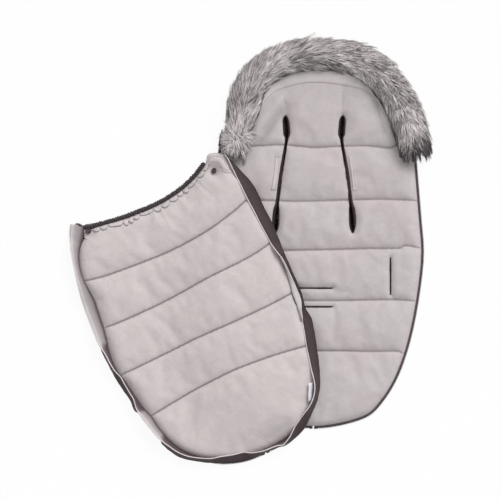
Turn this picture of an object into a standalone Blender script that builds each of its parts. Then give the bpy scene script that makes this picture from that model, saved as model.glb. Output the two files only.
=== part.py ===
"""Stroller footmuff laid open: a quilted back mat with a fur hood trim, and its zip-off front cover.

The two halves lie lining up, as on a shop photograph. The mat lies along +Y with its hood at the top.
The cover lies turned over beside it, its right side resting on the mat. Units are metres, +Z is up,
and the origin is on the mat's flat underside, on its middle line at its widest row.
"""

import bmesh
import bpy
from math import cos, pi, radians, sin, sqrt
from mathutils import Matrix, Vector
from mathutils.geometry import delaunay_2d_cdt

# Cloth and general clearances
SHELL_THICKNESS = 0.0012
FLEECE_THICKNESS = 0.0020
SEAT_GAP = 0.0003
LAYER_GAP = 0.0005
MERGE_DISTANCE = 0.00001
TABLE_STEPS = 6
RING_KEPT_SHARE = 0.92

# Back mat
MAT_LENGTH = 0.889
MAT_HALF_WIDTH = 0.246
MAT_BELOW_ORIGIN = 0.377
MAT_CROWN = 0.021
HOOD_LEAN = 0.012
HOOD_LEAN_SPAN_SHARES = (0.546, 0.856)
EDGE_ROLL = 0.025
GRID_SPACING = 0.056
GRID_MARGIN_SHARE = 0.16
HOLE_MARGIN = 0.004
WADDING_INSET = 0.018
SEAM_FLANK = 0.012
SEAM_DEPTH_SHARE = 0.42
MAT_SEAM_SHARES = (0.1925, 0.326, 0.455, 0.582, 0.723)
MAT_FOOT_ROW_SHARES = (0.35, 0.68)
MAT_HOOD_ROW_SHARES = (0.27, 0.48, 0.68, 0.86)
MAT_LOWER_EDGE_SHARES = (
    (0.0, 0.0), (0.022, 0.425), (0.062, 0.612), (0.144, 0.785), (0.267, 0.916), (0.430, 1.0), (0.546, 0.977))
MAT_UPPER_EDGE_SHARES = ((0.765, 0.875), (0.836, 0.855), (0.911, 0.729), (0.979, 0.467), (1.0, 0.0))

# Harness slits, with their dark bindings
BINDING_WALL = 0.0025
BINDING_LIP = 0.0012
SHOULDER_SLIT_LENGTH = 0.269
SHOULDER_SLIT_ABOVE_HOOD_FOOT = 0.0329
SHOULDER_SLIT_HALF_WIDTH = 0.0080
SHOULDER_SLIT_SPREAD = 0.0886
SHOULDER_SLIT_PATH_SHARES = (
    (0.0, 1.0), (0.17, 0.987), (0.36, 0.922), (0.58, 0.831), (0.80, 0.714), (1.0, 0.745))
SHOULDER_SLIT_WIDTH_SHARES = (
    (0.0, 0.22), (0.05, 0.85), (0.12, 1.0), (0.20, 0.85), (0.27, 0.46), (0.52, 0.43), (0.78, 0.46),
    (0.84, 0.94), (0.91, 0.97), (0.97, 0.85), (1.0, 0.22))
SLIT_END_HALF_WIDTH = 0.0004
SLIT_STEP_SHARE = 0.02
CROTCH_SLIT_LENGTH = 0.087
CROTCH_SLIT_PLACES = (-0.0603, -0.1028)
WAIST_SLIT_LENGTH = 0.090
WAIST_SLIT_FROM_MIDDLE = 0.1753
WAIST_SLIT_PLACE = -0.0325
NARROW_SLIT_GAP = 0.0046
NARROW_BINDING_WALL = 0.0016
WELT_LENGTH = 0.078
WELT_WIDTH = 0.010
WELT_THICKNESS = 0.0015
WELT_FROM_MIDDLE = 0.0895
WELT_PLACE = 0.205
WELT_TURN = radians(7.0)

# Fur trim round the hood
FUR_WIDTH = 0.076
FUR_HEIGHT = 0.046
FUR_CROWN_SHARES = ((0.985, 0.40), (0.84, 0.80), (0.58, 1.0), (0.30, 0.94), (0.08, 0.62))
FUR_BACKING_THICKNESS = 0.0015
FUR_END_TAPER_SHARE = 0.55
FUR_TAPER_LENGTH = 0.080
FUR_STATIONS = 30
FUR_BELOW_HOOD_FOOT_LEFT = 0.0451
FUR_BELOW_HOOD_FOOT_RIGHT = 0.0471
FUR_EDGE_INSET = 0.0015
FUR_SEAT_GAP = 0.0012
FACING_MIDDLE_WIDTH = 0.026
FACING_END_SHARE = 0.15
FACING_THICKNESS = 0.0025
FACING_REACH_SHARE = 0.27

# Zip, the same on both halves
ZIP_TAPE_WIDTH = 0.0036
ZIP_TAPE_THICKNESS = 0.0010
ZIP_TAPE_HEIGHT = 0.0028
TOOTH_PITCH = 0.010
TOOTH_ROOT = 0.0012
TOOTH_REACH = 0.0034
TOOTH_HEIGHT = 0.0022
ZIP_END_GAP = 0.0045
ZIP_FITTING_LENGTH = 0.008

# Zip slider and its pull tab
SLIDER_LENGTH = 0.014
SLIDER_PLATE = 0.0011
SLIDER_CLEARANCE = 0.0005
SLIDER_SIDE_WALL = 0.0016
SLIDER_FLANGE_LIP = 0.0012
CROWN_LENGTH = 0.0076
CROWN_OPENING_HEIGHT = 0.0024
CROWN_BAR = 0.0011
CROWN_WIDTH = 0.0016
PULL_LENGTH = 0.024
PULL_WIDTH = 0.0062
PULL_THICKNESS = 0.0012
PULL_EYE_LENGTH = 0.0048
PULL_EYE_WIDTH = 0.0028

# Snap fasteners
SNAP_DIAMETER = 0.014
SNAP_RIM_HEIGHT = 0.0022
SNAP_STUD_DIAMETER = 0.0064
SNAP_STUD_HEIGHT = 0.0042
SNAP_SIDES = 16
MAT_SNAP_FROM_EDGE = 0.0285
MAT_SNAP_BELOW_HOOD_FOOT = 0.0591
SNAP_SOCKET_SHARES = (
    (0.0, 0.0), (1.0, 0.0), (1.0, 0.6), (0.84, 1.0), (0.625, 1.0), (0.5, 0.75), (0.45, 0.35), (0.0, 0.35))
SNAP_FLANGE_SHARES = ((0.0, 0.0), (0.86, 0.0), (0.86, 0.3), (0.6, 0.5))
SNAP_POST_SHARES = ((0.8, 0.26), (1.0, 0.7), (0.7, 1.0), (0.0, 1.0))

# Front cover
COVER_LENGTH = 0.653
COVER_HALF_WIDTH = 0.223
COVER_TILT = radians(25.5)
COVER_CORNER_FROM_FUR = (0.0054, -0.0146)
COVER_CROWN = 0.016
COVER_EDGE_ROLL = 0.040
COVER_GRID_SPACING = 0.040
COVER_LEAN = 0.012
COVER_LEAN_SPAN_SHARES = (0.45, 0.85)
COVER_TOP_DIP = 0.037
COVER_SEAM_SHARES = ((0.3046, -0.080), (0.461, 0.0), (0.630, 0.040), (0.782, 0.113))
COVER_FOOT_ROW_SHARES = (0.22, 0.48, 0.74)
COVER_TOP_ROW_SHARES = (0.42, 0.78)
COVER_EDGE_SHARES = (
    (0.0, 0.0), (0.008, 0.26), (0.053, 0.54), (0.158, 0.80), (0.35, 0.943), (0.47, 1.0), (0.67, 0.985),
    (0.84, 0.985), (0.93, 0.93), (1.0, 0.87))
LIFT_OVER_MAT = 0.0275
LIFT_LEAD = 0.060
LIFT_RAMP = 0.086

# Baffle wall round the cover
WALL_HEIGHT = 0.032
WALL_THICKNESS = 0.0010
WALL_FOOT_HEIGHT = 0.0066
WALL_STATIONS = 46
PIPING_RADIUS = 0.0018
PIPING_SIDES = 6
WALL_LEAN_SHARES = (
    (0.0, -0.55), (0.05, -0.72), (0.28, -0.70), (0.345, -0.35), (0.375, 0.0), (0.423, 0.06), (0.472, 0.38),
    (0.505, 0.05), (0.53, 0.11), (0.573, 0.44), (0.623, 0.05), (0.668, 0.28), (0.713, 0.25), (0.752, 0.10),
    (0.781, 0.28), (0.822, 0.08), (0.85, 0.28), (0.879, 0.56), (0.918, 0.78), (0.966, 0.22), (1.0, 0.06))

# Elastic top edge, corner tabs and label
CASING_RADIUS = 0.0054
CASING_RIB_SHARE = 0.80
CASING_WALL = 0.0016
CASING_RIBS = 24
CASING_SIDES = 6
CASING_SPAN_SHARES = (0.66, -0.73)
ELASTIC_WIDTH = 0.0034
ELASTIC_THICKNESS = 0.0012
TAB_HALF_WIDTH = 0.019
TAB_LENGTH = 0.040
TAB_OUTLINE_SHARES = (
    (-1.0, -0.62), (-0.55, -1.0), (0.45, -1.0), (1.0, -0.45), (1.0, 0.42), (0.55, 0.60), (-0.2, 0.30),
    (-1.0, -0.05))
TAB_SNAP_FROM_TOP = 0.0101
TAB_SNAP_FROM_CORNER = 0.0340
TAB_THICKNESS = 0.0022
SNAP_SEAT_GAP = 0.0006
LABEL_LENGTH = 0.035
LABEL_WIDTH = 0.012
LABEL_THICKNESS = 0.0006
LABEL_PLACE_SHARE = 0.623
LABEL_FROM_EDGE = 0.0125


def remove_all_objects():
    for thing in list(bpy.data.objects):
        bpy.data.objects.remove(thing, do_unlink=True)


def finish_material(name, colour, roughness, metallic=0.0):
    """A plain finish for a sub-part, its colour in linear values."""
    finish = bpy.data.materials.new(name)
    finish.use_nodes = True
    shader = finish.node_tree.nodes["Principled BSDF"]
    shader.inputs["Base Color"].default_value = (*colour, 1.0)
    shader.inputs["Roughness"].default_value = roughness
    shader.inputs["Metallic"].default_value = metallic
    return finish


def new_part(name, bm, finish, origin=(0.0, 0.0, 0.0), smooth=True):
    """Turn a bmesh into a named object whose origin lies at the given point."""
    bmesh.ops.recalc_face_normals(bm, faces=bm.faces)
    if origin != (0.0, 0.0, 0.0):
        bmesh.ops.translate(bm, verts=bm.verts, vec=-Vector(origin))
    mesh = bpy.data.meshes.new(name)
    bm.to_mesh(mesh)
    bm.free()
    mesh.materials.append(finish)
    if smooth:
        mesh.shade_smooth()
        mesh.set_sharp_from_angle(angle=radians(40.0))
    part = bpy.data.objects.new(name, mesh)
    part.location = origin
    bpy.context.scene.collection.objects.link(part)
    return part


# Curves and outlines

def ease(share):
    """Smooth step from 0 to 1."""
    share = min(max(share, 0.0), 1.0)
    return share * share * (3.0 - 2.0 * share)


def read_table(table, place):
    """Smoothly read a table of (place, value) pairs."""
    curve = smooth_curve(table, TABLE_STEPS)
    for start, end in zip(curve, curve[1:]):
        if place <= end.x:
            return start.y + (end.y - start.y) * (place - start.x) / (end.x - start.x)
    return table[-1][1]


def smooth_curve(points, steps):
    """A curve through the points, with some steps in each span and both ends kept."""
    points = [Vector(point) for point in points]
    ends = [2.0 * points[0] - points[1]] + points + [2.0 * points[-1] - points[-2]]
    curve = []
    for before, start, end, after in zip(ends, ends[1:], ends[2:], ends[3:]):
        for step in range(steps):
            t = step / steps
            bend = 2.0 * before - 5.0 * start + 4.0 * end - after
            swing = 3.0 * start - before - 3.0 * end + after
            curve.append(start + 0.5 * t * (end - before + t * (bend + t * swing)))
    return curve + [points[-1]]


def outward_normals(path, closed=False):
    """Normals to the right of a path, which is outwards on a loop that runs anticlockwise."""
    normals = []
    last = len(path) - 1
    for index, point in enumerate(path):
        before = path[index - 1] if index > 0 or closed else point
        after = path[(index + 1) % len(path)] if index < last or closed else point
        along = (after - before).normalized()
        normals.append(Vector((along.y, -along.x)))
    return normals


def offset_path(path, distance, closed=False):
    normals = outward_normals(path, closed)
    return [point + distance * normal for point, normal in zip(path, normals)]


def path_length(path):
    return sum((b - a).length for a, b in zip(path, path[1:]))


def point_on(path, distance):
    """The point at a distance along a path."""
    for a, b in zip(path, path[1:]):
        span = (b - a).length
        if distance <= span:
            return a + (b - a) * (distance / span)
        distance -= span
    return path[-1].copy()


def resample(path, count, start=0.0, end=None):
    """Evenly spaced points along a stretch of a path."""
    end = path_length(path) if end is None else end
    return [point_on(path, start + (end - start) * index / count) for index in range(count + 1)]


def inside(point, loop):
    crossings = 0
    for a, b in zip(loop, loop[1:] + loop[:1]):
        if (a.y > point.y) != (b.y > point.y):
            if point.x < a.x + (b.x - a.x) * (point.y - a.y) / (b.y - a.y):
                crossings += 1
    return crossings % 2 == 1


def depth_inside(point, loop):
    """Distance from a loop's edge, above zero inside it."""
    nearest = None
    for a, b in zip(loop, loop[1:] + loop[:1]):
        along = b - a
        share = min(max((point - a).dot(along) / along.length_squared, 0.0), 1.0)
        distance = (point - a - share * along).length
        nearest = distance if nearest is None else min(nearest, distance)
    return nearest if inside(point, loop) else -nearest


def inset_ring(outline, distance):
    """A loop drawn in from an outline, without the points that a sharp corner crowds together."""
    ring = offset_path(outline, -distance, closed=True)
    return [point for point in ring if depth_inside(point, outline) > distance * RING_KEPT_SHARE]


# Outline and heights of the mat

def mat_place(share, across):
    """The point at a share of the mat's length and of its half width, with the hood's lean."""
    start, end = HOOD_LEAN_SPAN_SHARES
    lean = HOOD_LEAN * ease((share - start) / (end - start))
    return Vector((lean + across * MAT_HALF_WIDTH, share * MAT_LENGTH - MAT_BELOW_ORIGIN))


def both_sides(table):
    """Outline points of both sides, from the left one's end through the middle to the right one's."""
    left = [(share, -across) for share, across in reversed(table)]
    return left + [(share, across) for share, across in table[1:]]


def mat_lower_edge(steps=3):
    points = smooth_curve(both_sides(MAT_LOWER_EDGE_SHARES), steps)
    return [mat_place(share, across) for share, across in points]


def mat_upper_edge(steps=3):
    points = smooth_curve(both_sides(tuple(reversed(MAT_UPPER_EDGE_SHARES))), steps)
    return [mat_place(share, across) for share, across in reversed(points)]


MAT_LOWER_EDGE = mat_lower_edge()
MAT_UPPER_EDGE = mat_upper_edge()
MAT_OUTLINE = MAT_LOWER_EDGE + MAT_UPPER_EDGE
HOOD_FOOT = MAT_UPPER_EDGE[0].y
LINING_EDGE_HEIGHT = SHELL_THICKNESS + SEAT_GAP + FLEECE_THICKNESS


def side_edge_point(side, height):
    """The point at a height on the straight stretch of the mat's edge, where the hood begins."""
    low, high = MAT_LOWER_EDGE[-1], MAT_UPPER_EDGE[0]
    if side < 0.0:
        low, high = MAT_LOWER_EDGE[0], MAT_UPPER_EDGE[-1]
    return low + (height - low.y) / (high.y - low.y) * (high - low)


FUR_LEFT_END = side_edge_point(-1.0, HOOD_FOOT - FUR_BELOW_HOOD_FOOT_LEFT)
FUR_RIGHT_END = side_edge_point(1.0, HOOD_FOOT - FUR_BELOW_HOOD_FOOT_RIGHT)


def mat_envelope(depth):
    """Height of the mat's lining over its channels, by the distance from the outline."""
    share = min(max(depth / EDGE_ROLL, 0.0), 1.0)
    return LINING_EDGE_HEIGHT + (MAT_CROWN - LINING_EDGE_HEIGHT) * sqrt(1.0 - (1.0 - share) ** 2)


def channel_puff(distance):
    """How far a quilted channel swells at a distance from its seam, 1 at its full height."""
    share = min(distance / (SEAM_FLANK * 4.0), 1.0)
    return SEAM_DEPTH_SHARE + (1.0 - SEAM_DEPTH_SHARE) * sqrt(1.0 - (1.0 - share) ** 2)


def mat_top(point):
    """Height of the lining's upper face on the quilted mat."""
    seams = [share * MAT_LENGTH - MAT_BELOW_ORIGIN for share in MAT_SEAM_SHARES]
    puff = channel_puff(min(abs(point.y - seam) for seam in seams))
    rise = mat_envelope(depth_inside(point.to_2d(), MAT_OUTLINE)) - LINING_EDGE_HEIGHT
    return LINING_EDGE_HEIGHT + rise * puff


# Outline and heights of the cover

def cover_turn(across, along):
    """A step across the cover's middle line and along it, in the plan."""
    return Vector((across * cos(COVER_TILT) - along * sin(COVER_TILT),
                   across * sin(COVER_TILT) + along * cos(COVER_TILT)))


def cover_lean(along):
    start, end = COVER_LEAN_SPAN_SHARES
    return COVER_LEAN * ease((along / COVER_LENGTH - start) / (end - start))


COVER_CORNER_HALF_WIDTH = COVER_EDGE_SHARES[-1][1] * COVER_HALF_WIDTH
COVER_CORNER = FUR_LEFT_END + Vector(COVER_CORNER_FROM_FUR)
COVER_FOOT = COVER_CORNER - cover_turn(cover_lean(COVER_LENGTH) + COVER_CORNER_HALF_WIDTH, COVER_LENGTH)


def cover_point(across, along):
    """A plan point from the cover's own sizes: across its middle line, and up from its foot."""
    return COVER_FOOT + cover_turn(across, along)


def cover_sides(steps=3):
    """The cover's edge from its left corner, round the foot, to its right corner."""
    curve = smooth_curve(both_sides(COVER_EDGE_SHARES), steps)
    edge = []
    for share, across in curve:
        along = share * COVER_LENGTH
        edge.append(cover_point(cover_lean(along) + across * COVER_HALF_WIDTH, along))
    return edge


def cover_top_along(share):
    """Distance from the cover's foot up to its hollow top edge, at a share of its half width."""
    corner_share = COVER_EDGE_SHARES[-1][1]
    return COVER_LENGTH - COVER_TOP_DIP * (1.0 - (share / corner_share) ** 2)


def cover_top_point(share):
    """A point on the cover's hollow top edge, at a share of its half width from the middle."""
    along = cover_top_along(share)
    return cover_point(cover_lean(along) + share * COVER_HALF_WIDTH, along)


COVER_SIDES = cover_sides()
COVER_TOP_SHARES = (0.72, 0.54, 0.36, 0.18, 0.0, -0.18, -0.36, -0.54, -0.72)
COVER_OUTLINE = COVER_SIDES + [cover_top_point(share) for share in COVER_TOP_SHARES]


def cover_floor(point):
    """Height of the cover's underside: on the ground, and lifted where it lies over the mat."""
    depth = depth_inside(point.to_2d(), MAT_OUTLINE)
    return LIFT_OVER_MAT * ease((depth + LIFT_LEAD) / LIFT_RAMP)


def cover_coordinates(point):
    """The distance across the cover's middle line, and up from its foot."""
    step = point.to_2d() - COVER_FOOT
    along = step.dot(cover_turn(0.0, 1.0))
    return step.dot(cover_turn(1.0, 0.0)) - cover_lean(along), along


def cover_thickness(point):
    """Height of the cover's lining above its underside."""
    across, along = cover_coordinates(point)
    bow = (across / COVER_HALF_WIDTH) ** 2 * COVER_HALF_WIDTH
    seams = [share * COVER_LENGTH + bend * bow for share, bend in COVER_SEAM_SHARES]
    puff = channel_puff(min(abs(along - seam) for seam in seams))
    rise = ease(depth_inside(point.to_2d(), COVER_OUTLINE) / COVER_EDGE_ROLL)
    return LINING_EDGE_HEIGHT + (COVER_CROWN - LINING_EDGE_HEIGHT) * rise * puff


def cover_top(point):
    return cover_floor(point) + cover_thickness(point)


# Solids made from outlines and paths

def fill_plan(outline, holes=(), rings=(), inner_points=()):
    """Triangles that fill an outline, left open at its holes. Layers that share a plan match."""
    points = []
    edges = []
    for loop in [outline, *holes, *rings]:
        first = len(points)
        points += loop
        edges += [(first + step, first + (step + 1) % len(loop)) for step in range(len(loop))]
    filled = delaunay_2d_cdt([*points, *inner_points], edges, [], 1, MERGE_DISTANCE)
    triangles = []
    for corners in filled[2]:
        middle = sum((filled[0][corner] for corner in corners), Vector((0.0, 0.0))) / len(corners)
        if not any(inside(middle, hole) for hole in holes):
            triangles.append((corners, middle))
    return filled[0], triangles


def add_panel(name, plan, low, high, finish, within=None):
    """A sheet on a plan, or on the part of it within a loop, that reaches from low to high."""
    points, triangles = plan
    bm = bmesh.new()
    verts = [bm.verts.new((place.x, place.y, low(place))) for place in points]
    for corners, middle in triangles:
        if within is None or inside(middle, within):
            bm.faces.new([verts[corner] for corner in corners])
    loose = [vert for vert in bm.verts if not vert.link_faces]
    bmesh.ops.delete(bm, geom=loose, context="VERTS")
    raised = bmesh.ops.extrude_face_region(bm, geom=bm.faces[:], use_keep_orig=True)
    for vert in raised["geom"]:
        if isinstance(vert, bmesh.types.BMVert):
            vert.co.z = high(vert.co)
    return new_part(name, bm, finish)


def add_loft(name, rings, finish, closed=False):
    """A solid through matching rings of points, capped at its ends unless it closes on itself.

    Facing sides are split along parallel diagonals, so that a thin wall that twists stays even, and
    two lofts that touch have faces that match.
    """
    bm = bmesh.new()
    loops = [[bm.verts.new(place) for place in ring] for ring in rings]
    pairs = list(zip(loops, loops[1:]))
    if closed:
        pairs.append((loops[-1], loops[0]))
    else:
        bm.faces.new(loops[0])
        bm.faces.new(loops[-1])
    for ring, following in pairs:
        for step in range(len(ring)):
            other = (step + 1) % len(ring)
            if step < len(ring) // 2:
                bm.faces.new((ring[step], ring[other], following[other]))
                bm.faces.new((ring[step], following[other], following[step]))
            else:
                bm.faces.new((ring[step], ring[other], following[step]))
                bm.faces.new((ring[other], following[other], following[step]))
    return new_part(name, bm, finish)


def strip_rings(path, section, base, closed=False):
    """Rings along a path from a section of (outwards, up) sizes, above the base height."""
    rings = []
    for point, normal in zip(path, outward_normals(path, closed)):
        ground = base(point)
        ring = []
        for outwards, up in section:
            place = point + outwards * normal
            ring.append(Vector((place.x, place.y, ground + up)))
        rings.append(ring)
    return rings


def box_section(inner, outer, low, high):
    return ((inner, low), (outer, low), (outer, high), (inner, high))


def level(point):
    """The ground that the mat lies on."""
    return 0.0


def grid_points(outline, holes, rows, spacing):
    """Points along the rows, clear of the outline and of the holes."""
    kept = []
    for row in rows:
        for point in row:
            clear = depth_inside(point, outline) > spacing * GRID_MARGIN_SHARE
            if clear and all(depth_inside(point, hole) < -HOLE_MARGIN for hole in holes):
                kept.append(point)
    return kept


# Slits and their bindings

def slit_loop(middle, half_width, inset):
    """An outline round a slit's middle line, drawn in by an inset at its sides and ends."""
    last = len(half_width) - 1
    right = []
    left = []
    for index, (share, width) in enumerate(half_width):
        inward = inset if index == 0 else -inset if index == last else 0.0
        point, along = middle(share, inward)
        side = Vector((along.y, -along.x))
        reach = max(width - inset, SLIT_END_HALF_WIDTH)
        right.append(point + side * reach)
        left.append(point - side * reach)
    return right + left[::-1]


def shoulder_middle(side):
    """The middle line of a shoulder slit, from its lower end to its upper one."""
    def place(share):
        spread = read_table(SHOULDER_SLIT_PATH_SHARES, share) * SHOULDER_SLIT_SPREAD
        top = HOOD_FOOT + SHOULDER_SLIT_ABOVE_HOOD_FOOT
        return Vector((side * spread, top - (1.0 - share) * SHOULDER_SLIT_LENGTH))

    def middle(share, inward):
        ahead = place(min(share + SLIT_STEP_SHARE, 1.0))
        behind = place(max(share - SLIT_STEP_SHARE, 0.0))
        along = (ahead - behind).normalized()
        return place(share) + along * inward, along
    return middle


def straight_middle(centre, along, length):
    """The middle line of a straight slit."""
    def middle(share, inward):
        return centre + along * ((share - 0.5) * length + inward), along
    return middle


def shoulder_slit(side, inset):
    widths = [(share, width * SHOULDER_SLIT_HALF_WIDTH) for share, width in SHOULDER_SLIT_WIDTH_SHARES]
    return slit_loop(shoulder_middle(side), widths, inset)


def narrow_slit(centre, along, length, inset):
    half_width = NARROW_SLIT_GAP / 2.0 + NARROW_BINDING_WALL + SEAT_GAP
    end_share = half_width / length
    half_end = half_width * 0.5
    widths = ((0.0, half_end), (end_share, half_width), (1.0 - end_share, half_width), (1.0, half_end))
    return slit_loop(straight_middle(centre, along, length), widths, inset)


def crotch_slit(place, inset):
    return narrow_slit(Vector((0.0, place)), Vector((1.0, 0.0)), CROTCH_SLIT_LENGTH, inset)


def waist_slit(side, inset):
    centre = Vector((side * WAIST_SLIT_FROM_MIDDLE, WAIST_SLIT_PLACE))
    return narrow_slit(centre, Vector((0.0, 1.0)), WAIST_SLIT_LENGTH, inset)


def add_binding(name, outer, inner, finish):
    """A bound edge that lines a slit through the shell, the wadding and the lining."""
    rings = []
    for wide, close in zip(outer, inner):
        top = mat_top(wide.to_3d()) + BINDING_LIP
        corners = ((wide, 0.0), (close, 0.0), (close, top), (wide, top))
        rings.append([Vector((*spot, height)) for spot, height in corners])
    return add_loft(name, rings, finish, closed=True)


# Finishes, with sRGB colours turned into linear values

def linear(*colour):
    return tuple(((value / 255.0 + 0.055) / 1.055) ** 2.4 for value in colour)


def make_finishes():
    return {
        "fleece": finish_material("grey_fleece", linear(196, 187, 188), 0.95),
        "shell": finish_material("plum_shell_cloth", linear(80, 66, 68), 0.80),
        "wadding": finish_material("white_wadding", linear(232, 230, 226), 0.95),
        "fur": finish_material("grey_faux_fur", linear(158, 150, 149), 0.95),
        "backing": finish_material("fur_backing_knit", linear(96, 86, 88), 0.90),
        "binding": finish_material("dark_slit_binding", linear(60, 50, 54), 0.85),
        "tape": finish_material("zip_tape", linear(74, 62, 66), 0.85),
        "teeth": finish_material("zip_teeth_plastic", linear(62, 54, 57), 0.45),
        "metal": finish_material("black_zip_metal", linear(48, 44, 46), 0.35, 0.8),
        "snap": finish_material("snap_gunmetal", linear(70, 62, 66), 0.35, 0.8),
        "elastic": finish_material("elastic_webbing", linear(66, 54, 58), 0.80),
        "label": finish_material("blank_white_label", linear(235, 232, 242), 0.75),
    }


# Back mat

def mat_rows():
    """Grid rows of the mat: on each seam, at its flanks, and through the channels."""
    foot = -MAT_BELOW_ORIGIN
    top = MAT_LENGTH - MAT_BELOW_ORIGIN
    seams = [share * MAT_LENGTH - MAT_BELOW_ORIGIN for share in MAT_SEAM_SHARES]
    heights = [foot + share * (seams[0] - foot) for share in MAT_FOOT_ROW_SHARES]
    for seam in seams:
        heights += [seam - SEAM_FLANK, seam, seam + SEAM_FLANK]
    heights += [(low + high) / 2.0 for low, high in zip(seams, seams[1:])]
    heights += [seams[-1] + share * (top - seams[-1]) for share in MAT_HOOD_ROW_SHARES]
    columns = int(MAT_HALF_WIDTH / GRID_SPACING)
    rows = []
    for height in sorted(heights):
        middle = mat_place((height + MAT_BELOW_ORIGIN) / MAT_LENGTH, 0.0).x
        steps = range(-columns, columns + 1)
        rows.append([Vector((middle + step * GRID_SPACING, height)) for step in steps])
    return rows


def slit_loops(inset):
    """Every slit of the mat by name, as an outline drawn in by an inset."""
    return {
        "shoulder_slit_binding_left": shoulder_slit(-1.0, inset),
        "shoulder_slit_binding_right": shoulder_slit(1.0, inset),
        "crotch_slit_binding_upper": crotch_slit(CROTCH_SLIT_PLACES[0], inset),
        "crotch_slit_binding_lower": crotch_slit(CROTCH_SLIT_PLACES[1], inset),
        "waist_slit_binding_left": waist_slit(-1.0, inset),
        "waist_slit_binding_right": waist_slit(1.0, inset),
    }


def mat_snap_spot(side):
    """The plan place of a snap stud on the mat, just below the fur's end."""
    outwards = -1.0 if side == "left" else 1.0
    edge = side_edge_point(outwards, HOOD_FOOT - MAT_SNAP_BELOW_HOOD_FOOT)
    return edge - Vector((outwards * MAT_SNAP_FROM_EDGE, 0.0))


def round_snap(spot):
    """Grid points round a snap, so that the cloth under it is smooth."""
    reach = SNAP_DIAMETER / 2.0
    return [spot + reach * Vector(way) for way in ((1.0, 0.0), (-1.0, 0.0), (0.0, 1.0), (0.0, -1.0))]


def build_mat_layers(finishes):
    holes = list(slit_loops(0.0).values())
    ring = inset_ring(MAT_OUTLINE, WADDING_INSET)
    inner = grid_points(ring, holes, mat_rows(), GRID_SPACING)
    spots = [mat_snap_spot(side) for side in ("left", "right")]
    inner = [point for point in inner if all((point - spot).length > SNAP_DIAMETER for spot in spots)]
    for spot in spots:
        inner += [spot] + round_snap(spot)

    def shell_top(point):
        return SHELL_THICKNESS

    def lining_under(point):
        return mat_top(point) - FLEECE_THICKNESS

    def wadding_under(point):
        return SHELL_THICKNESS + SEAT_GAP

    def wadding_top(point):
        return lining_under(point) - LAYER_GAP

    plan = fill_plan(MAT_OUTLINE, holes, [ring], inner)
    add_panel("mat_shell", fill_plan(MAT_OUTLINE, holes), level, shell_top, finishes["shell"])
    add_panel("mat_wadding", plan, wadding_under, wadding_top, finishes["wadding"], within=ring)
    add_panel("mat_lining", plan, lining_under, mat_top, finishes["fleece"])


def build_slit_bindings(finishes):
    outer = slit_loops(SEAT_GAP)
    for name in outer:
        wall = BINDING_WALL if name.startswith("shoulder") else NARROW_BINDING_WALL
        inner = slit_loops(SEAT_GAP + wall)[name]
        add_binding(name, outer[name], inner, finishes["binding"])


def build_welts(finishes):
    """Stitched welts of the second pair of harness slots, flat on the lining's crown."""
    for name, side in (("side_slot_welt_left", -1.0), ("side_slot_welt_right", 1.0)):
        along = Vector((side * sin(WELT_TURN), -cos(WELT_TURN)))
        middle = Vector((side * WELT_FROM_MIDDLE, WELT_PLACE))
        path = [middle - along * WELT_LENGTH / 2.0, middle + along * WELT_LENGTH / 2.0]
        under = MAT_CROWN + SEAT_GAP
        section = box_section(-WELT_WIDTH / 2.0, WELT_WIDTH / 2.0, under, under + WELT_THICKNESS)
        add_loft(name, strip_rings(path, section, level), finishes["fleece"])


def hood_path():
    """The mat's edge from the fur's right end, over the hood, to its left end."""
    return [FUR_RIGHT_END] + MAT_UPPER_EDGE + [FUR_LEFT_END]


def build_fur(finishes):
    """The fur trim's pile as a full band, on the knitted backing that is sewn to the hood."""
    path = hood_path()
    length = path_length(path)
    stations = resample(path, FUR_STATIONS)
    depths = (FUR_EDGE_INSET, WADDING_INSET, EDGE_ROLL, FUR_WIDTH)
    lift = FUR_SEAT_GAP
    backing_rings = []
    fur_rings = []
    for index, (point, normal) in enumerate(zip(stations, outward_normals(stations))):
        from_end = min(index, FUR_STATIONS - index) * length / FUR_STATIONS
        fullness = FUR_END_TAPER_SHARE + (1.0 - FUR_END_TAPER_SHARE) * ease(from_end / FUR_TAPER_LENGTH)

        def place(depth, height):
            spot = point - depth * normal
            return Vector((spot.x, spot.y, height))

        under = [place(depth, mat_envelope(depth) + lift) for depth in depths]
        over = [place(depth, mat_envelope(depth) + lift + FUR_BACKING_THICKNESS) for depth in depths]
        pile = [corner + Vector((0.0, 0.0, SEAT_GAP)) for corner in over]
        crown = []
        for across_share, height_share in FUR_CROWN_SHARES:
            crown.append(place(across_share * FUR_WIDTH, MAT_CROWN + height_share * fullness * FUR_HEIGHT))
        backing_rings.append(under + over[::-1])
        fur_rings.append((pile + crown)[::-1])
    add_loft("fur_backing", backing_rings, finishes["backing"])
    add_loft("fur_trim", fur_rings, finishes["fur"])
    build_facing(finishes, list(zip(stations, outward_normals(stations))))


def build_facing(finishes, stations):
    """The plain crescent between the fur's inner edge and the hood's arc seam."""
    middle = FUR_STATIONS // 2
    reach = int(FACING_REACH_SHARE * FUR_STATIONS)
    stations = stations[middle - reach:middle + reach + 1]
    rings = []
    for index, (point, normal) in enumerate(stations):
        swell = max(sin(pi * index / (2 * reach)), FACING_END_SHARE)
        near = point - (FUR_WIDTH + SEAT_GAP) * normal
        far = near - FACING_MIDDLE_WIDTH * swell * normal
        under = MAT_CROWN + SEAT_GAP
        over = under + FACING_THICKNESS
        rings.append([Vector((*spot, height)) for spot, height in
                      ((near, under), (far, under), (far, over), (near, over))])
    add_loft("hood_facing", rings, finishes["fleece"])


# Zips

def mat_zip_path():
    return [MAT_UPPER_EDGE[-1]] + MAT_LOWER_EDGE + [MAT_UPPER_EDGE[0]]


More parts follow.
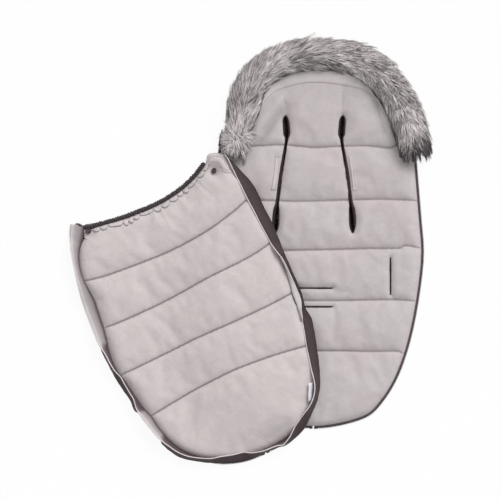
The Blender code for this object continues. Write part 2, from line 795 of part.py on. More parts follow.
def trim_path(path, start, end):
    """The stretch of a path between two distances, with the path's own corners kept."""
    kept = [point_on(path, start)]
    distance = 0.0
    for before, point in zip(path, path[1:]):
        distance += (point - before).length
        if start + MERGE_DISTANCE < distance < end - MERGE_DISTANCE:
            kept.append(point)
    return kept + [point_on(path, end)]


def comb_rings(path, start, end, base):
    """Teeth as notches along the tape's edge, root and tip in turn."""
    inner = ZIP_TAPE_WIDTH + 2.0 * SEAT_GAP
    middle = ZIP_TAPE_HEIGHT + ZIP_TAPE_THICKNESS / 2.0
    count = 2 * int((end - start) / TOOTH_PITCH)
    stations = resample(path, count, start, end)
    rings = []
    for index, (point, normal) in enumerate(zip(stations, outward_normals(stations))):
        reach = TOOTH_REACH if index % 2 else TOOTH_ROOT
        ground = base(point)
        root = point + inner * normal
        tip = point + (ZIP_TAPE_WIDTH + reach) * normal
        rings.append([
            Vector((*root, ground + middle - TOOTH_HEIGHT / 2.0)),
            Vector((*tip, ground + middle)),
            Vector((*root, ground + middle + TOOTH_HEIGHT / 2.0))])
    return rings


def zip_fitting_section():
    middle = ZIP_TAPE_HEIGHT + ZIP_TAPE_THICKNESS / 2.0
    half = TOOTH_HEIGHT / 2.0
    near = ZIP_TAPE_WIDTH + 2.0 * SEAT_GAP
    return box_section(near, ZIP_TAPE_WIDTH + TOOTH_REACH, middle - half, middle + half)


def build_zip(prefix, foot_fitting, path, base, finishes):
    """Both zip halves of a panel: tape, teeth, top stop, and the fitting at the foot."""
    length = path_length(path)
    middle = length / 2.0
    halves = (("left", 0.0, middle - ZIP_END_GAP / 2.0), ("right", length, middle + ZIP_END_GAP / 2.0))
    tape_top = ZIP_TAPE_HEIGHT + ZIP_TAPE_THICKNESS
    tape = box_section(SEAT_GAP, ZIP_TAPE_WIDTH + SEAT_GAP, ZIP_TAPE_HEIGHT, tape_top)
    fitting = zip_fitting_section()
    for side, top, foot in halves:
        inward = 1.0 if foot > top else -1.0
        fitting_length = inward * ZIP_FITTING_LENGTH
        stretches = {
            "stop": (top, top + fitting_length),
            foot_fitting: (foot - fitting_length, foot),
        }
        whole = trim_path(path, *sorted((top, foot)))
        add_loft(f"{prefix}_zip_tape_{side}", strip_rings(whole, tape, base), finishes["tape"])
        for word, ends in stretches.items():
            short = trim_path(path, *sorted(ends))
            add_loft(f"{prefix}_zip_{word}_{side}", strip_rings(short, fitting, base), finishes["teeth"])
        clearance = fitting_length + inward * SEAT_GAP
        comb = comb_rings(path, *sorted((top + clearance, foot - clearance)), base)
        add_loft(f"{prefix}_zip_teeth_{side}", comb, finishes["teeth"])


def slider_frame(side):
    """Place and directions of a slider at the top of the mat's zip, on its straight stretch."""
    path = mat_zip_path()
    from_top = ZIP_FITTING_LENGTH + 2.0 * SEAT_GAP + SLIDER_LENGTH / 2.0
    if side == "left":
        top, low = path[0], path[1]
        along = (low - top).normalized()
        place = top + along * from_top
    else:
        top, low = path[-1], path[-2]
        along = (top - low).normalized()
        place = top - along * from_top
    outwards = Vector((along.y, -along.x))
    turn = Matrix(((outwards.x, along.x, 0.0), (outwards.y, along.y, 0.0), (0.0, 0.0, 1.0)))
    return place, turn


def place_local(part, place, turn):
    """Turn a part about its own origin and set it at a place."""
    part.matrix_world = Matrix.Translation(place) @ turn.to_4x4()


def slider_plate_top():
    return TOOTH_HEIGHT / 2.0 + SLIDER_CLEARANCE + SLIDER_PLATE


def channel_section(trim):
    """Section of the slider's channel about the teeth's middle, its side wall thinned by a trim."""
    near = ZIP_TAPE_WIDTH - TOOTH_HEIGHT
    lip = near + SLIDER_FLANGE_LIP
    far = ZIP_TAPE_WIDTH + TOOTH_REACH + SLIDER_CLEARANCE
    wall = far + SLIDER_SIDE_WALL - trim
    half_channel = TOOTH_HEIGHT / 2.0 + SLIDER_CLEARANCE
    half_slot = ZIP_TAPE_THICKNESS / 2.0 + SLIDER_CLEARANCE
    half_body = slider_plate_top()
    upper = [(wall, half_body), (near, half_body), (near, half_slot), (lip, half_slot),
             (lip, half_channel), (far, half_channel)]
    return upper + [(across, -up) for across, up in reversed(upper)]


def slider_middle():
    """Distance of the slider's middle line outwards from the mat's edge."""
    near = ZIP_TAPE_WIDTH - TOOTH_HEIGHT
    return (near + ZIP_TAPE_WIDTH + TOOTH_REACH + SLIDER_CLEARANCE + SLIDER_SIDE_WALL) / 2.0


def build_slider(side, finishes):
    """A zip slider: a channel round the teeth, with the crown that holds the pull tab."""
    rings = []
    for share, trim_share in ((-0.5, 0.45), (-0.25, 0.0), (0.25, 0.0), (0.5, 0.45)):
        section = channel_section(trim_share * SLIDER_SIDE_WALL)
        rings.append([Vector((across, share * SLIDER_LENGTH, up)) for across, up in section])
    slider = add_loft(f"zip_slider_{side}", rings, finishes["metal"])
    foot = slider_plate_top() - SLIDER_PLATE / 2.0
    inner_top = slider_plate_top() + CROWN_OPENING_HEIGHT
    half = CROWN_LENGTH / 2.0
    arch = [(-half, foot), (-half, inner_top), (-half + CROWN_BAR, inner_top + CROWN_BAR),
            (half - CROWN_BAR, inner_top + CROWN_BAR), (half, inner_top), (half, foot),
            (half - CROWN_BAR, foot), (half - CROWN_BAR, inner_top), (-half + CROWN_BAR, inner_top),
            (-half + CROWN_BAR, foot)]
    sides = (slider_middle() - CROWN_WIDTH / 2.0, slider_middle() + CROWN_WIDTH / 2.0)
    outlines = [[Vector((x, y, z)) for y, z in arch] for x in sides]
    crown = add_loft(f"crown_{side}", outlines, finishes["metal"])
    crown.hide_render = True
    crown.display_type = "WIRE"
    join = slider.modifiers.new("crown", "BOOLEAN")
    join.operation = "UNION"
    join.object = crown
    place, turn = slider_frame(side)
    middle = ZIP_TAPE_HEIGHT + ZIP_TAPE_THICKNESS / 2.0
    for piece in (slider, crown):
        place_local(piece, Vector((*place, middle)), turn)
    return slider


def build_pull_tab(side, finishes):
    """The pull tab: a tapered plate whose eye hangs in the slider's crown."""
    bar = CROWN_BAR * 0.6
    half_width = PULL_WIDTH / 2.0
    half_neck = half_width * 0.85
    half_eye = PULL_EYE_WIDTH / 2.0
    far = PULL_LENGTH - bar
    corner = half_width * 0.6
    direction = 1.0 if side == "left" else -1.0
    outline = [(-half_neck, -bar), (half_neck, -bar), (half_width, PULL_EYE_LENGTH + 3.0 * bar),
               (half_width, far - corner), (half_width - corner, far), (corner - half_width, far),
               (-half_width, far - corner), (-half_width, PULL_EYE_LENGTH + 3.0 * bar)]
    eye_far = bar + PULL_EYE_LENGTH
    eye = [(-half_eye, bar), (half_eye, bar), (half_eye, eye_far), (-half_eye, eye_far)]
    outline = [Vector((x, direction * y)) for x, y in outline]
    eye = [Vector((x, direction * y)) for x, y in eye]

    def under(point):
        return -PULL_THICKNESS / 2.0

    def over(point):
        return PULL_THICKNESS / 2.0

    tab = add_panel(f"pull_tab_{side}", fill_plan(outline, [eye]), under, over, finishes["metal"])
    place, turn = slider_frame(side)
    up = ZIP_TAPE_HEIGHT + ZIP_TAPE_THICKNESS / 2.0 + slider_plate_top() + CROWN_OPENING_HEIGHT / 2.0
    hinge = Vector((*place, 0.0)) + turn @ Vector((slider_middle(), 0.0, up))
    place_local(tab, hinge, turn)
    return tab


# Snap fasteners

def add_turned(name, profile, spot, radius, top, finish):
    """A round piece turned from a profile of (radius, height) that starts and ends on its axis."""
    bm = bmesh.new()
    verts = [bm.verts.new((radius, 0.0, height)) for radius, height in profile]
    edges = [bm.edges.new(pair) for pair in zip(verts, verts[1:])]
    bmesh.ops.spin(
        bm, geom=verts + edges, cent=(0.0, 0.0, 0.0), axis=(0.0, 0.0, 1.0), dvec=(0.0, 0.0, 0.0),
        angle=2.0 * pi, steps=SNAP_SIDES, use_merge=True)
    bmesh.ops.remove_doubles(bm, verts=bm.verts, dist=MERGE_DISTANCE)
    part = new_part(name, bm, finish)
    seat_on(part, spot, radius, top)
    return part


def seat_on(part, spot, radius, top):
    """Set a round piece on a cloth surface, tilted as the surface is under its rim."""
    ways = ((1.0, 0.0), (-1.0, 0.0), (0.0, 1.0), (0.0, -1.0))
    east, west, north, south = (top(spot + radius * Vector(way)) for way in ways)
    slope = Vector((west - east, south - north, 2.0 * radius)).normalized()
    height = max(top(spot), (east + west) / 2.0, (north + south) / 2.0) + SNAP_SEAT_GAP
    turn = Vector((0.0, 0.0, 1.0)).rotation_difference(slope).to_matrix()
    place_local(part, Vector((*spot, height)), turn)


def build_mat_snaps(finishes):
    """Snap studs on the mat's lining, just below the fur's ends."""
    radius = SNAP_DIAMETER / 2.0
    stem = SNAP_STUD_DIAMETER / 2.0
    profile = [(across * radius, up * SNAP_RIM_HEIGHT) for across, up in SNAP_FLANGE_SHARES]
    profile += [(across * stem, up * SNAP_STUD_HEIGHT) for across, up in SNAP_POST_SHARES]
    for side in ("left", "right"):
        add_turned(f"mat_snap_stud_{side}", profile, mat_snap_spot(side), radius, mat_top, finishes["snap"])


def flat_on_lining(points):
    """Heights over the cover's underside that clear the thickest lining below the points."""
    deepest = max(depth_inside(point, COVER_OUTLINE) for point in points)
    return LINING_EDGE_HEIGHT + (COVER_CROWN - LINING_EDGE_HEIGHT) * ease(deepest / COVER_EDGE_ROLL)


def corner_tab_outline(side):
    """Outline of a corner tab on the cover's plan, and the spot of its snap."""
    from_middle = COVER_CORNER_HALF_WIDTH - TAB_SNAP_FROM_CORNER
    middle = cover_top_along(from_middle / COVER_HALF_WIDTH) - TAB_SNAP_FROM_TOP

    def corner(across_share, along_share):
        across = side * (from_middle + across_share * TAB_HALF_WIDTH)
        return cover_point(cover_lean(middle) + across, middle + along_share * TAB_LENGTH / 2.0)

    return [corner(*shares) for shares in TAB_OUTLINE_SHARES], corner(0.0, 0.0)


def build_corner_tabs(plan, finishes):
    """Fleece tabs sewn flat on the cover's top corners, each with its snap socket."""
    radius = SNAP_DIAMETER / 2.0
    profile = [(across * radius, up * SNAP_RIM_HEIGHT) for across, up in SNAP_SOCKET_SHARES]

    def tab_under(point):
        return cover_top(point) + SEAT_GAP

    def tab_top(point):
        return tab_under(point) + TAB_THICKNESS

    for name, side in (("left", -1.0), ("right", 1.0)):
        outline, spot = corner_tab_outline(side)
        add_panel(f"corner_tab_{name}", plan, tab_under, tab_top, finishes["fleece"], within=outline)
        add_turned(f"cover_snap_socket_{name}", profile, spot, radius, tab_top, finishes["snap"])


# Front cover

def cover_rows():
    """Grid rows of the cover, bowed like its seams."""
    seams = [(share * COVER_LENGTH, bend) for share, bend in COVER_SEAM_SHARES]
    bows = [(share * seams[0][0], seams[0][1]) for share in COVER_FOOT_ROW_SHARES]
    for place, bend in seams:
        bows += [(place - SEAM_FLANK, bend), (place, bend), (place + SEAM_FLANK, bend)]
    bows += [((low[0] + high[0]) / 2.0, (low[1] + high[1]) / 2.0) for low, high in zip(seams, seams[1:])]
    top = COVER_LENGTH - COVER_TOP_DIP
    bows += [(seams[-1][0] + share * (top - seams[-1][0]), seams[-1][1]) for share in COVER_TOP_ROW_SHARES]
    columns = int(COVER_HALF_WIDTH / COVER_GRID_SPACING)
    rows = []
    for place, bend in sorted(bows):
        row = []
        for column in range(-columns, columns + 1):
            across = column * COVER_GRID_SPACING
            along = place + bend * COVER_HALF_WIDTH * (across / COVER_HALF_WIDTH) ** 2
            row.append(cover_point(cover_lean(along) + across, along))
        rows.append(row)
    return rows


def build_cover_layers(finishes):
    """The cover's three layers. They share one plan, which the corner tabs on the lining follow too."""
    ring = inset_ring(COVER_OUTLINE, WADDING_INSET)
    inner = grid_points(ring, [], cover_rows(), COVER_GRID_SPACING)
    tabs = []
    for side in (-1.0, 1.0):
        outline, spot = corner_tab_outline(side)
        inner = [point for point in inner if depth_inside(point, outline) < -HOLE_MARGIN]
        inner += [spot] + round_snap(spot)
        tabs.append(outline)

    def shell_top(point):
        return cover_floor(point) + SHELL_THICKNESS

    def lining_under(point):
        return cover_top(point) - FLEECE_THICKNESS

    def wadding_under(point):
        return shell_top(point) + SEAT_GAP

    def wadding_top(point):
        return lining_under(point) - LAYER_GAP

    plan = fill_plan(COVER_OUTLINE, rings=[ring, *tabs], inner_points=inner)
    add_panel("cover_shell", plan, cover_floor, shell_top, finishes["shell"])
    add_panel("cover_wadding", plan, wadding_under, wadding_top, finishes["wadding"], within=ring)
    add_panel("cover_lining", plan, lining_under, cover_top, finishes["fleece"])
    return plan


def build_baffle(finishes):
    """The wall round the cover: dark outside, fleece inside, piped along its free edge."""
    length = path_length(COVER_SIDES)
    stations = resample(COVER_SIDES, WALL_STATIONS)
    outer_rings = []
    lining_rings = []
    piping_rings = []
    for index, (point, normal) in enumerate(zip(stations, outward_normals(stations))):
        lean = read_table(WALL_LEAN_SHARES, index / WALL_STATIONS)
        upward = sqrt(1.0 - lean * lean)
        outwards = Vector((*normal, 0.0))
        up = Vector((0.0, 0.0, 1.0))
        rise = upward * up - lean * outwards
        across = upward * outwards + lean * up
        foot = Vector((*point, cover_floor(point) + WALL_FOOT_HEIGHT))
        top = foot + WALL_HEIGHT * rise
        gap = across * SEAT_GAP / 2.0
        cloth = across * WALL_THICKNESS
        fleece = across * FLEECE_THICKNESS * 0.75
        outer_rings.append([foot + gap, foot + gap + cloth, top + gap + cloth, top + gap])
        lining_rings.append([foot - gap - fleece, foot - gap, top - gap, top - gap - fleece])
        bead = top + rise * (PIPING_RADIUS + SEAT_GAP)
        ring = []
        for corner in range(PIPING_SIDES):
            angle = 2.0 * pi * corner / PIPING_SIDES
            ring.append(bead + PIPING_RADIUS * (cos(angle) * across + sin(angle) * rise))
        piping_rings.append(ring)
    add_loft("baffle_outer", outer_rings, finishes["shell"])
    add_loft("baffle_lining", lining_rings, finishes["fleece"])
    add_loft("baffle_piping", piping_rings, finishes["fleece"])


def ring_round(centre, along, radius, sides):
    """A ring of points round a path, square to it."""
    outwards = Vector((along.y, -along.x, 0.0))
    up = Vector((0.0, 0.0, 1.0))
    ring = []
    for corner in range(sides):
        angle = 2.0 * pi * corner / sides
        ring.append(centre + radius * (cos(angle) * outwards + sin(angle) * up))
    return ring


def build_elastic_edge(finishes):
    """The gathered casing along the hollow top edge, with the elastic that runs through it."""
    start, end = CASING_SPAN_SHARES
    count = 2 * CASING_RIBS
    edge = [cover_top_point(start + (end - start) * index / count) for index in range(count + 1)]
    stations = offset_path(edge, CASING_RADIUS + SEAT_GAP)
    bore = CASING_RADIUS * CASING_RIB_SHARE - CASING_WALL
    outer_rings = []
    bore_rings = []
    centres = []
    for index, (point, normal) in enumerate(zip(stations, outward_normals(stations))):
        centre = Vector((*point, cover_floor(point) + CASING_RADIUS + SEAT_GAP))
        along = Vector((-normal.y, normal.x))
        radius = CASING_RADIUS * (1.0 if index % 2 else CASING_RIB_SHARE)
        outer_rings.append(ring_round(centre, along, radius, CASING_SIDES))
        bore_rings.append(ring_round(centre, along, bore, CASING_SIDES))
        centres.append((centre, along))
    bm = bmesh.new()
    skins = []
    for rings in (outer_rings, bore_rings):
        loops = [[bm.verts.new(place) for place in ring] for ring in rings]
        for ring, following in zip(loops, loops[1:]):
            for step in range(CASING_SIDES):
                other = (step + 1) % CASING_SIDES
                bm.faces.new((ring[step], ring[other], following[other], following[step]))
        skins.append(loops)
    for end_index in (0, -1):
        outer, inner = skins[0][end_index], skins[1][end_index]
        for step in range(CASING_SIDES):
            other = (step + 1) % CASING_SIDES
            bm.faces.new((outer[step], outer[other], inner[other], inner[step]))
    new_part("elastic_casing", bm, finishes["elastic"])
    half_width = ELASTIC_WIDTH / 2.0
    half_thickness = ELASTIC_THICKNESS / 2.0
    rings = []
    for centre, along in centres[::4]:
        outwards = Vector((along.y, -along.x, 0.0))
        rings.append([centre + outwards * across + Vector((0.0, 0.0, up)) for across, up in (
            (-half_thickness, -half_width), (half_thickness, -half_width),
            (half_thickness, half_width), (-half_thickness, half_width))])
    add_loft("top_elastic", rings, finishes["elastic"])


def build_label(finishes):
    """The sewn-in tab at the cover's right seam, left blank."""
    length = path_length(COVER_SIDES)
    middle = point_on(COVER_SIDES, LABEL_PLACE_SHARE * length)
    ahead = point_on(COVER_SIDES, LABEL_PLACE_SHARE * length + LABEL_LENGTH)
    along = (ahead - middle).normalized()
    inward = Vector((-along.y, along.x))
    centre = middle + inward * LABEL_FROM_EDGE
    outline = []
    half_length = along * LABEL_LENGTH / 2.0
    half_width = inward * LABEL_WIDTH / 2.0
    for along_side, inward_side in ((-1.0, -1.0), (1.0, -1.0), (1.0, 1.0), (-1.0, 1.0)):
        outline.append(centre + along_side * half_length + inward_side * half_width)
    height = flat_on_lining(outline) + LAYER_GAP

    def under(point):
        return cover_floor(point) + height

    def over(point):
        return under(point) + LABEL_THICKNESS

    add_panel("blank_label", fill_plan(outline, inner_points=[centre]), under, over, finishes["label"])


def build_footmuff():
    remove_all_objects()
    finishes = make_finishes()
    build_mat_layers(finishes)
    build_slit_bindings(finishes)
    build_welts(finishes)
    build_fur(finishes)
    build_mat_snaps(finishes)
    build_zip("mat", "box", mat_zip_path(), level, finishes)
    for side in ("left", "right"):
        build_slider(side, finishes)
        build_pull_tab(side, finishes)
    cover_plan = build_cover_layers(finishes)
    build_baffle(finishes)
    build_zip("cover", "pin", COVER_SIDES, cover_floor, finishes)
    build_elastic_edge(finishes)
    build_corner_tabs(cover_plan, finishes)
    build_label(finishes)


build_footmuff()
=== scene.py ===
from math import atan2, cos, exp, pi, radians, sin, sqrt

import bmesh
import bpy
import numpy as np
from mathutils import Matrix, Vector, noise
from mathutils.bvhtree import BVHTree
from mathutils.geometry import delaunay_2d_cdt


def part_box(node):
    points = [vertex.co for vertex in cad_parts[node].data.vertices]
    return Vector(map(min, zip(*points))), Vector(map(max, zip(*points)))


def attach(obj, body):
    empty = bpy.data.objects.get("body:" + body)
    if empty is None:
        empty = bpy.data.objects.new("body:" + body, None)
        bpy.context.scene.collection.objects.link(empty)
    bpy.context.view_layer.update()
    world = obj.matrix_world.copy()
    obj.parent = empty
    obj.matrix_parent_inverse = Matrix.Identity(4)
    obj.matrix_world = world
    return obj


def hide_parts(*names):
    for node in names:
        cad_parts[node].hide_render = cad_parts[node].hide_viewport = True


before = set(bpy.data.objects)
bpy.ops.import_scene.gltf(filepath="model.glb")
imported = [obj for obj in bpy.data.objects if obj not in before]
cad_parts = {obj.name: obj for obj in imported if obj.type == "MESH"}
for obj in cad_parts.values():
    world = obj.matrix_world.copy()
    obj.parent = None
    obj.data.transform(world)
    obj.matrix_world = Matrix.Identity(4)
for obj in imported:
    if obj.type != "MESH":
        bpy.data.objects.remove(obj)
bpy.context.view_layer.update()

scene = bpy.context.scene


# Studio: a shop photograph's white floor, seen straight from above. The camera stands high with a
# long lens, so both halves of the footmuff show without perspective. A white sky gives most of the
# light and one very soft sun from the upper right gives the folds their shade.
PHOTO_SIDE = 500
PIXEL = 0.0023
ORIGIN_PIXEL = (314.0, 262.0)
CAMERA_HEIGHT = 8.0
SENSOR = 36.0
SKY_STRENGTH = 0.56
SUN_ENERGY = 2.05
SUN_SPREAD = 32.0
SUN_FROM = (0.55, 0.80, 0.88)
FLOOR_HALF = 6.0
FLOOR_DROP = 0.0004
FLOOR_GLOW = 0.93


def on_photo(across, down):
    """The plan point, in metres, of a pixel of the photograph."""
    return Vector(((across - ORIGIN_PIXEL[0]) * PIXEL, (ORIGIN_PIXEL[1] - down) * PIXEL))


def traced(spots):
    """Plan points of a row of pixels of the photograph."""
    return [on_photo(*spot) for spot in spots]


camera_data = bpy.data.cameras.new("top_camera")
camera_data.sensor_width = SENSOR
camera_data.lens = SENSOR * CAMERA_HEIGHT / (PHOTO_SIDE * PIXEL)
camera_data.clip_end = 50.0
camera = bpy.data.objects.new("top_camera", camera_data)
camera.location = (*on_photo(PHOTO_SIDE / 2.0, PHOTO_SIDE / 2.0), CAMERA_HEIGHT)
scene.collection.objects.link(camera)
scene.camera = camera
scene.view_settings.view_transform = "Standard"

world = bpy.data.worlds.new("white_sky")
world.use_nodes = True
sky = world.node_tree.nodes["Background"]
sky.inputs["Color"].default_value = (1.0, 0.995, 0.99, 1.0)
sky.inputs["Strength"].default_value = SKY_STRENGTH


def seen_by(nodes, links, *kinds):
    """A socket that is 1 for rays of any of the given kinds."""
    path = nodes.new("ShaderNodeLightPath")
    seen = path.outputs[kinds[0]]
    for kind in kinds[1:]:
        either = nodes.new("ShaderNodeMath")
        either.operation = "MAXIMUM"
        links.new(seen, either.inputs[0])
        links.new(path.outputs[kind], either.inputs[1])
        seen = either.outputs[0]
    return seen


def mixed(nodes, links, factor, first, second):
    """A mix of two shader nodes, its factor being a socket or a number."""
    mix = nodes.new("ShaderNodeMixShader")
    if isinstance(factor, float):
        mix.inputs[0].default_value = factor
    else:
        links.new(factor, mix.inputs[0])
    links.new(first.outputs[0], mix.inputs[1])
    links.new(second.outputs[0], mix.inputs[2])
    return mix


nodes, links = world.node_tree.nodes, world.node_tree.links
backdrop = nodes.new("ShaderNodeBackground")
backdrop.inputs["Strength"].default_value = 1.0
sky_mix = mixed(nodes, links, seen_by(nodes, links, "Is Camera Ray", "Is Glossy Ray"), sky, backdrop)
links.new(sky_mix.outputs[0], nodes["World Output"].inputs["Surface"])
scene.world = world

sun_data = bpy.data.lights.new("soft_sun", "SUN")
sun_data.energy = SUN_ENERGY
sun_data.angle = radians(SUN_SPREAD)
sun_data.color = (1.0, 0.985, 0.975)
sun = bpy.data.objects.new("soft_sun", sun_data)
sun.rotation_euler = Vector(SUN_FROM).to_track_quat("Z", "Y").to_euler()
scene.collection.objects.link(sun)

floor_bm = bmesh.new()
bmesh.ops.create_grid(floor_bm, x_segments=1, y_segments=1, size=FLOOR_HALF)
bmesh.ops.translate(floor_bm, verts=floor_bm.verts, vec=(0.0, 0.0, -FLOOR_DROP))
floor_mesh = bpy.data.meshes.new("white_floor")
floor_bm.to_mesh(floor_mesh)
floor_bm.free()
floor = bpy.data.objects.new("white_floor", floor_mesh)
scene.collection.objects.link(floor)
floor_paint = bpy.data.materials.new("white_floor")
floor_paint.use_nodes = True
nodes = floor_paint.node_tree.nodes
links = floor_paint.node_tree.links
nodes.remove(nodes["Principled BSDF"])
lit = nodes.new("ShaderNodeBsdfDiffuse")
lit.inputs["Color"].default_value = (0.92, 0.92, 0.92, 1.0)
glow = nodes.new("ShaderNodeEmission")
glow.inputs["Strength"].default_value = 1.0
soft_floor = mixed(nodes, links, FLOOR_GLOW, lit, glow)
seen_rays = seen_by(nodes, links, "Is Camera Ray", "Is Glossy Ray", "Is Transmission Ray")
floor_mix = mixed(nodes, links, seen_rays, lit, soft_floor)
links.new(floor_mix.outputs[0], nodes["Material Output"].inputs["Surface"])
floor_mesh.materials.append(floor_paint)


# Back mat: the quilted lining. Light grey fleece is stitched to the wadding in channels across the
# mat, and each channel puffs up and puckers between its seams. The harness slits are cut through it.
# The sheet is inflated as cloth between its held seams, then closed down to the shell.
MAT_GRID = 0.0056
MAT_EDGE_HEIGHT = 0.0034
MAT_CROWN = 0.0190
MAT_SEAM_HEIGHT = 0.0098
MAT_EDGE_ROLL = 0.030
MAT_CHANNEL_ROLL = 0.050
MAT_LINING_FOOT = 0.0016
MAT_SLIT_RISE = 0.0028
MAT_SLIT_ROLL = 0.036
SLIT_MIDDLES = (
    ((342.8, 117.0), (341.6, 130.0), (341.3, 146.0), (344.0, 175.0), (349.0, 205.0), (352.8, 232.0)),
    ((285.2, 117.0), (286.4, 130.0), (286.7, 146.0), (284.0, 175.0), (279.0, 205.0), (275.2, 232.0)),
    ((296.0, 288.2), (332.0, 288.2)),
    ((296.0, 306.7), (332.0, 306.7)),
    ((390.2, 258.0), (390.2, 294.0)),
    ((237.8, 258.0), (237.8, 294.0)),
)
SLIT_STEP = 0.003
SHORT_SLIT_SHARE = 0.32
SHORT_SLIT_ROUND = 0.30
MAT_SNAPS = ("mat_snap_stud_left", "mat_snap_stud_right")
MAT_SNAP_RADIUS = 0.0070
MAT_SNAP_FADE = 0.010
MAT_SNAP_SEAT = 0.0003
MAT_RIPPLE = 0.0009
# Painted shade in the lining's stitched grooves: its darkness and its width.
MAT_LINE_SHADE = 0.72
MAT_LINE_WIDTH = 0.0014
QUILT_PRESSURE = 1.6
QUILT_SLACK = 0.012
MAT_PUFF_CAP = 0.0040
HELD_AT_EDGE = 0.001
HELD_AT_SEAM = 0.0008
HELD_ROUND_SNAP = 0.002
RIPPLE_FADE = 0.02
MAT_CREASES = (
    (((284.0, 96.0), (286.0, 104.0), (287.7, 115.0)), 0.0056, 0.0046),
    (((343.4, 88.0), (342.8, 100.0), (342.8, 114.0)), 0.0050, 0.0042),
    (((283.0, 96.0), (276.0, 107.0), (262.0, 124.0), (252.0, 138.0)), -0.0056, 0.0100),
    (((285.0, 108.0), (276.0, 117.0), (264.0, 132.0)), 0.0058, 0.0070),
    (((376.0, 100.0), (378.0, 116.0), (384.0, 134.0)), 0.0044, 0.0060),
    (((404.0, 236.0), (401.0, 243.0), (398.0, 248.0)), 0.0020, 0.0030),
    (((411.0, 240.0), (412.5, 248.0)), 0.0016, 0.0026),
    (((388.8, 253.0), (391.6, 299.0)), 0.0016, 0.0050),
    (((333.0, 288.0), (339.0, 292.0), (347.0, 291.0)), 0.0028, 0.0060),
    (((334.0, 307.0), (335.0, 318.0), (334.5, 330.0)), 0.0030, 0.0050),
    (((391.5, 296.0), (395.0, 299.5)), 0.0020, 0.0040),
    (((276.6, 157.0), (273.0, 191.0)), 0.0022, 0.0075),
    (((351.4, 157.0), (355.0, 191.0)), 0.0022, 0.0075),
)
# Painted shade along the lining's folds: the line, its darkness and its width.
MAT_FOLD_SHADES = (
    (((284.6, 99.0), (286.2, 106.0), (287.7, 115.0)), 0.40, 0.0030),
    (((343.2, 92.0), (342.8, 102.0), (342.8, 114.0)), 0.34, 0.0030),
    (((284.0, 111.0), (277.0, 119.0), (268.0, 131.0), (262.0, 139.0)), 0.40, 0.0110),
    (((258.0, 112.0), (254.0, 126.0), (251.0, 140.0)), 0.42, 0.0070),
    (((377.0, 102.0), (379.0, 116.0), (384.0, 132.0)), 0.26, 0.0030),
    (((396.0, 130.0), (399.0, 144.0)), 0.45, 0.0060),
    (((330.0, 288.0), (337.0, 291.5), (346.0, 291.0)), 0.20, 0.0030),
)
MAT_SEAMS = (
    ((236.0, 147.5), (262.0, 145.8), (285.0, 145.2), (313.0, 147.6), (338.0, 146.6), (365.0, 146.0),
     (389.0, 148.0), (397.0, 144.5)),
    ((214.0, 201.5), (263.0, 200.6), (300.0, 201.4), (345.0, 200.2), (381.0, 199.5), (418.0, 200.6)),
    ((211.0, 252.2), (262.0, 251.0), (313.0, 250.0), (330.0, 249.6), (372.0, 248.6), (398.0, 248.4),
     (404.5, 245.8), (419.0, 247.6)),
    ((214.0, 301.0), (262.0, 300.4), (330.0, 300.6), (372.0, 299.8), (394.0, 299.6), (413.5, 300.8)),
    ((228.0, 352.6), (262.0, 352.0), (330.0, 350.6), (372.0, 351.4), (394.0, 351.0), (404.0, 352.8)))


def merged_copy(node):
    """A bmesh copy of a CAD node with its loose triangles joined."""
    bm = bmesh.new()
    bm.from_mesh(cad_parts[node].data)
    bmesh.ops.remove_doubles(bm, verts=bm.verts, dist=0.00002)
    return bm


def edge_loops(node):
    """The closed loops round a flat node's underside, longest first, each as plan points."""
    bm = merged_copy(node)
    bm.normal_update()
    under = {face for face in bm.faces if face.normal.z < -0.5}
    rim = [edge for edge in bm.edges if sum(face in under for face in edge.link_faces) == 1]
    beside = {}
    for edge in rim:
        for vert in edge.verts:
            beside.setdefault(vert, []).append(edge.other_vert(vert))
    loops = []
    used = set()
    for first in sorted(beside, key=lambda vert: vert.index):
        if first in used:
            continue
        loop = [first]
        used.add(first)
        while True:
            following = [vert for vert in beside[loop[-1]] if vert not in used]
            if not following:
                break
            loop.append(following[0])
            used.add(following[0])
        loops.append([vert.co.copy() for vert in loop])
    bm.free()
    return sorted(loops, key=lambda loop: -sum((a - b).length for a, b in zip(loop, loop[1:])))


def spline(a, b, c, d, t):
    """The place at a share t from b to c on the smooth curve from a to d."""
    bend = 2.0 * a - 5.0 * b + 4.0 * c - d
    return b + 0.5 * t * (c - a + t * (bend + t * (3.0 * b - a - 3.0 * c + d)))


def curve_through(points, spacing, closed=False):
    """Evenly spaced points of a smooth curve through the given ones."""
    points = [Vector(point) for point in points]
    count = len(points)
    dense = []
    spans = count if closed else count - 1
    for index in range(spans):
        if closed:
            a, b, c, d = (points[(index + step) % count] for step in (-1, 0, 1, 2))
        else:
            b, c = points[index], points[index + 1]
            a = points[index - 1] if index else 2.0 * b - c
            d = points[index + 2] if index + 2 < count else 2.0 * c - b
        steps = max(int((c - b).length / spacing * 4.0), 4)
        for step in range(steps):
            dense.append(spline(a, b, c, d, step / steps))
    dense.append(points[0].copy() if closed else points[-1].copy())
    lengths = [0.0]
    for a, b in zip(dense, dense[1:]):
        lengths.append(lengths[-1] + (b - a).length)
    total = lengths[-1]
    steps = max(int(total / spacing), 3)
    even = []
    place = 0
    for index in range(steps if closed else steps + 1):
        distance = total * index / steps
        while place < len(dense) - 2 and lengths[place + 1] < distance:
            place += 1
        span = lengths[place + 1] - lengths[place]
        share = (distance - lengths[place]) / span if span else 0.0
        even.append(dense[place].lerp(dense[place + 1], min(share, 1.0)))
    return even


def plan_array(points):
    return np.array([(point.x, point.y) for point in points])


def plan_of(bm):
    """The plan points of a bmesh's vertices."""
    return np.array([vert.co.to_tuple() for vert in bm.verts])[:, :2]


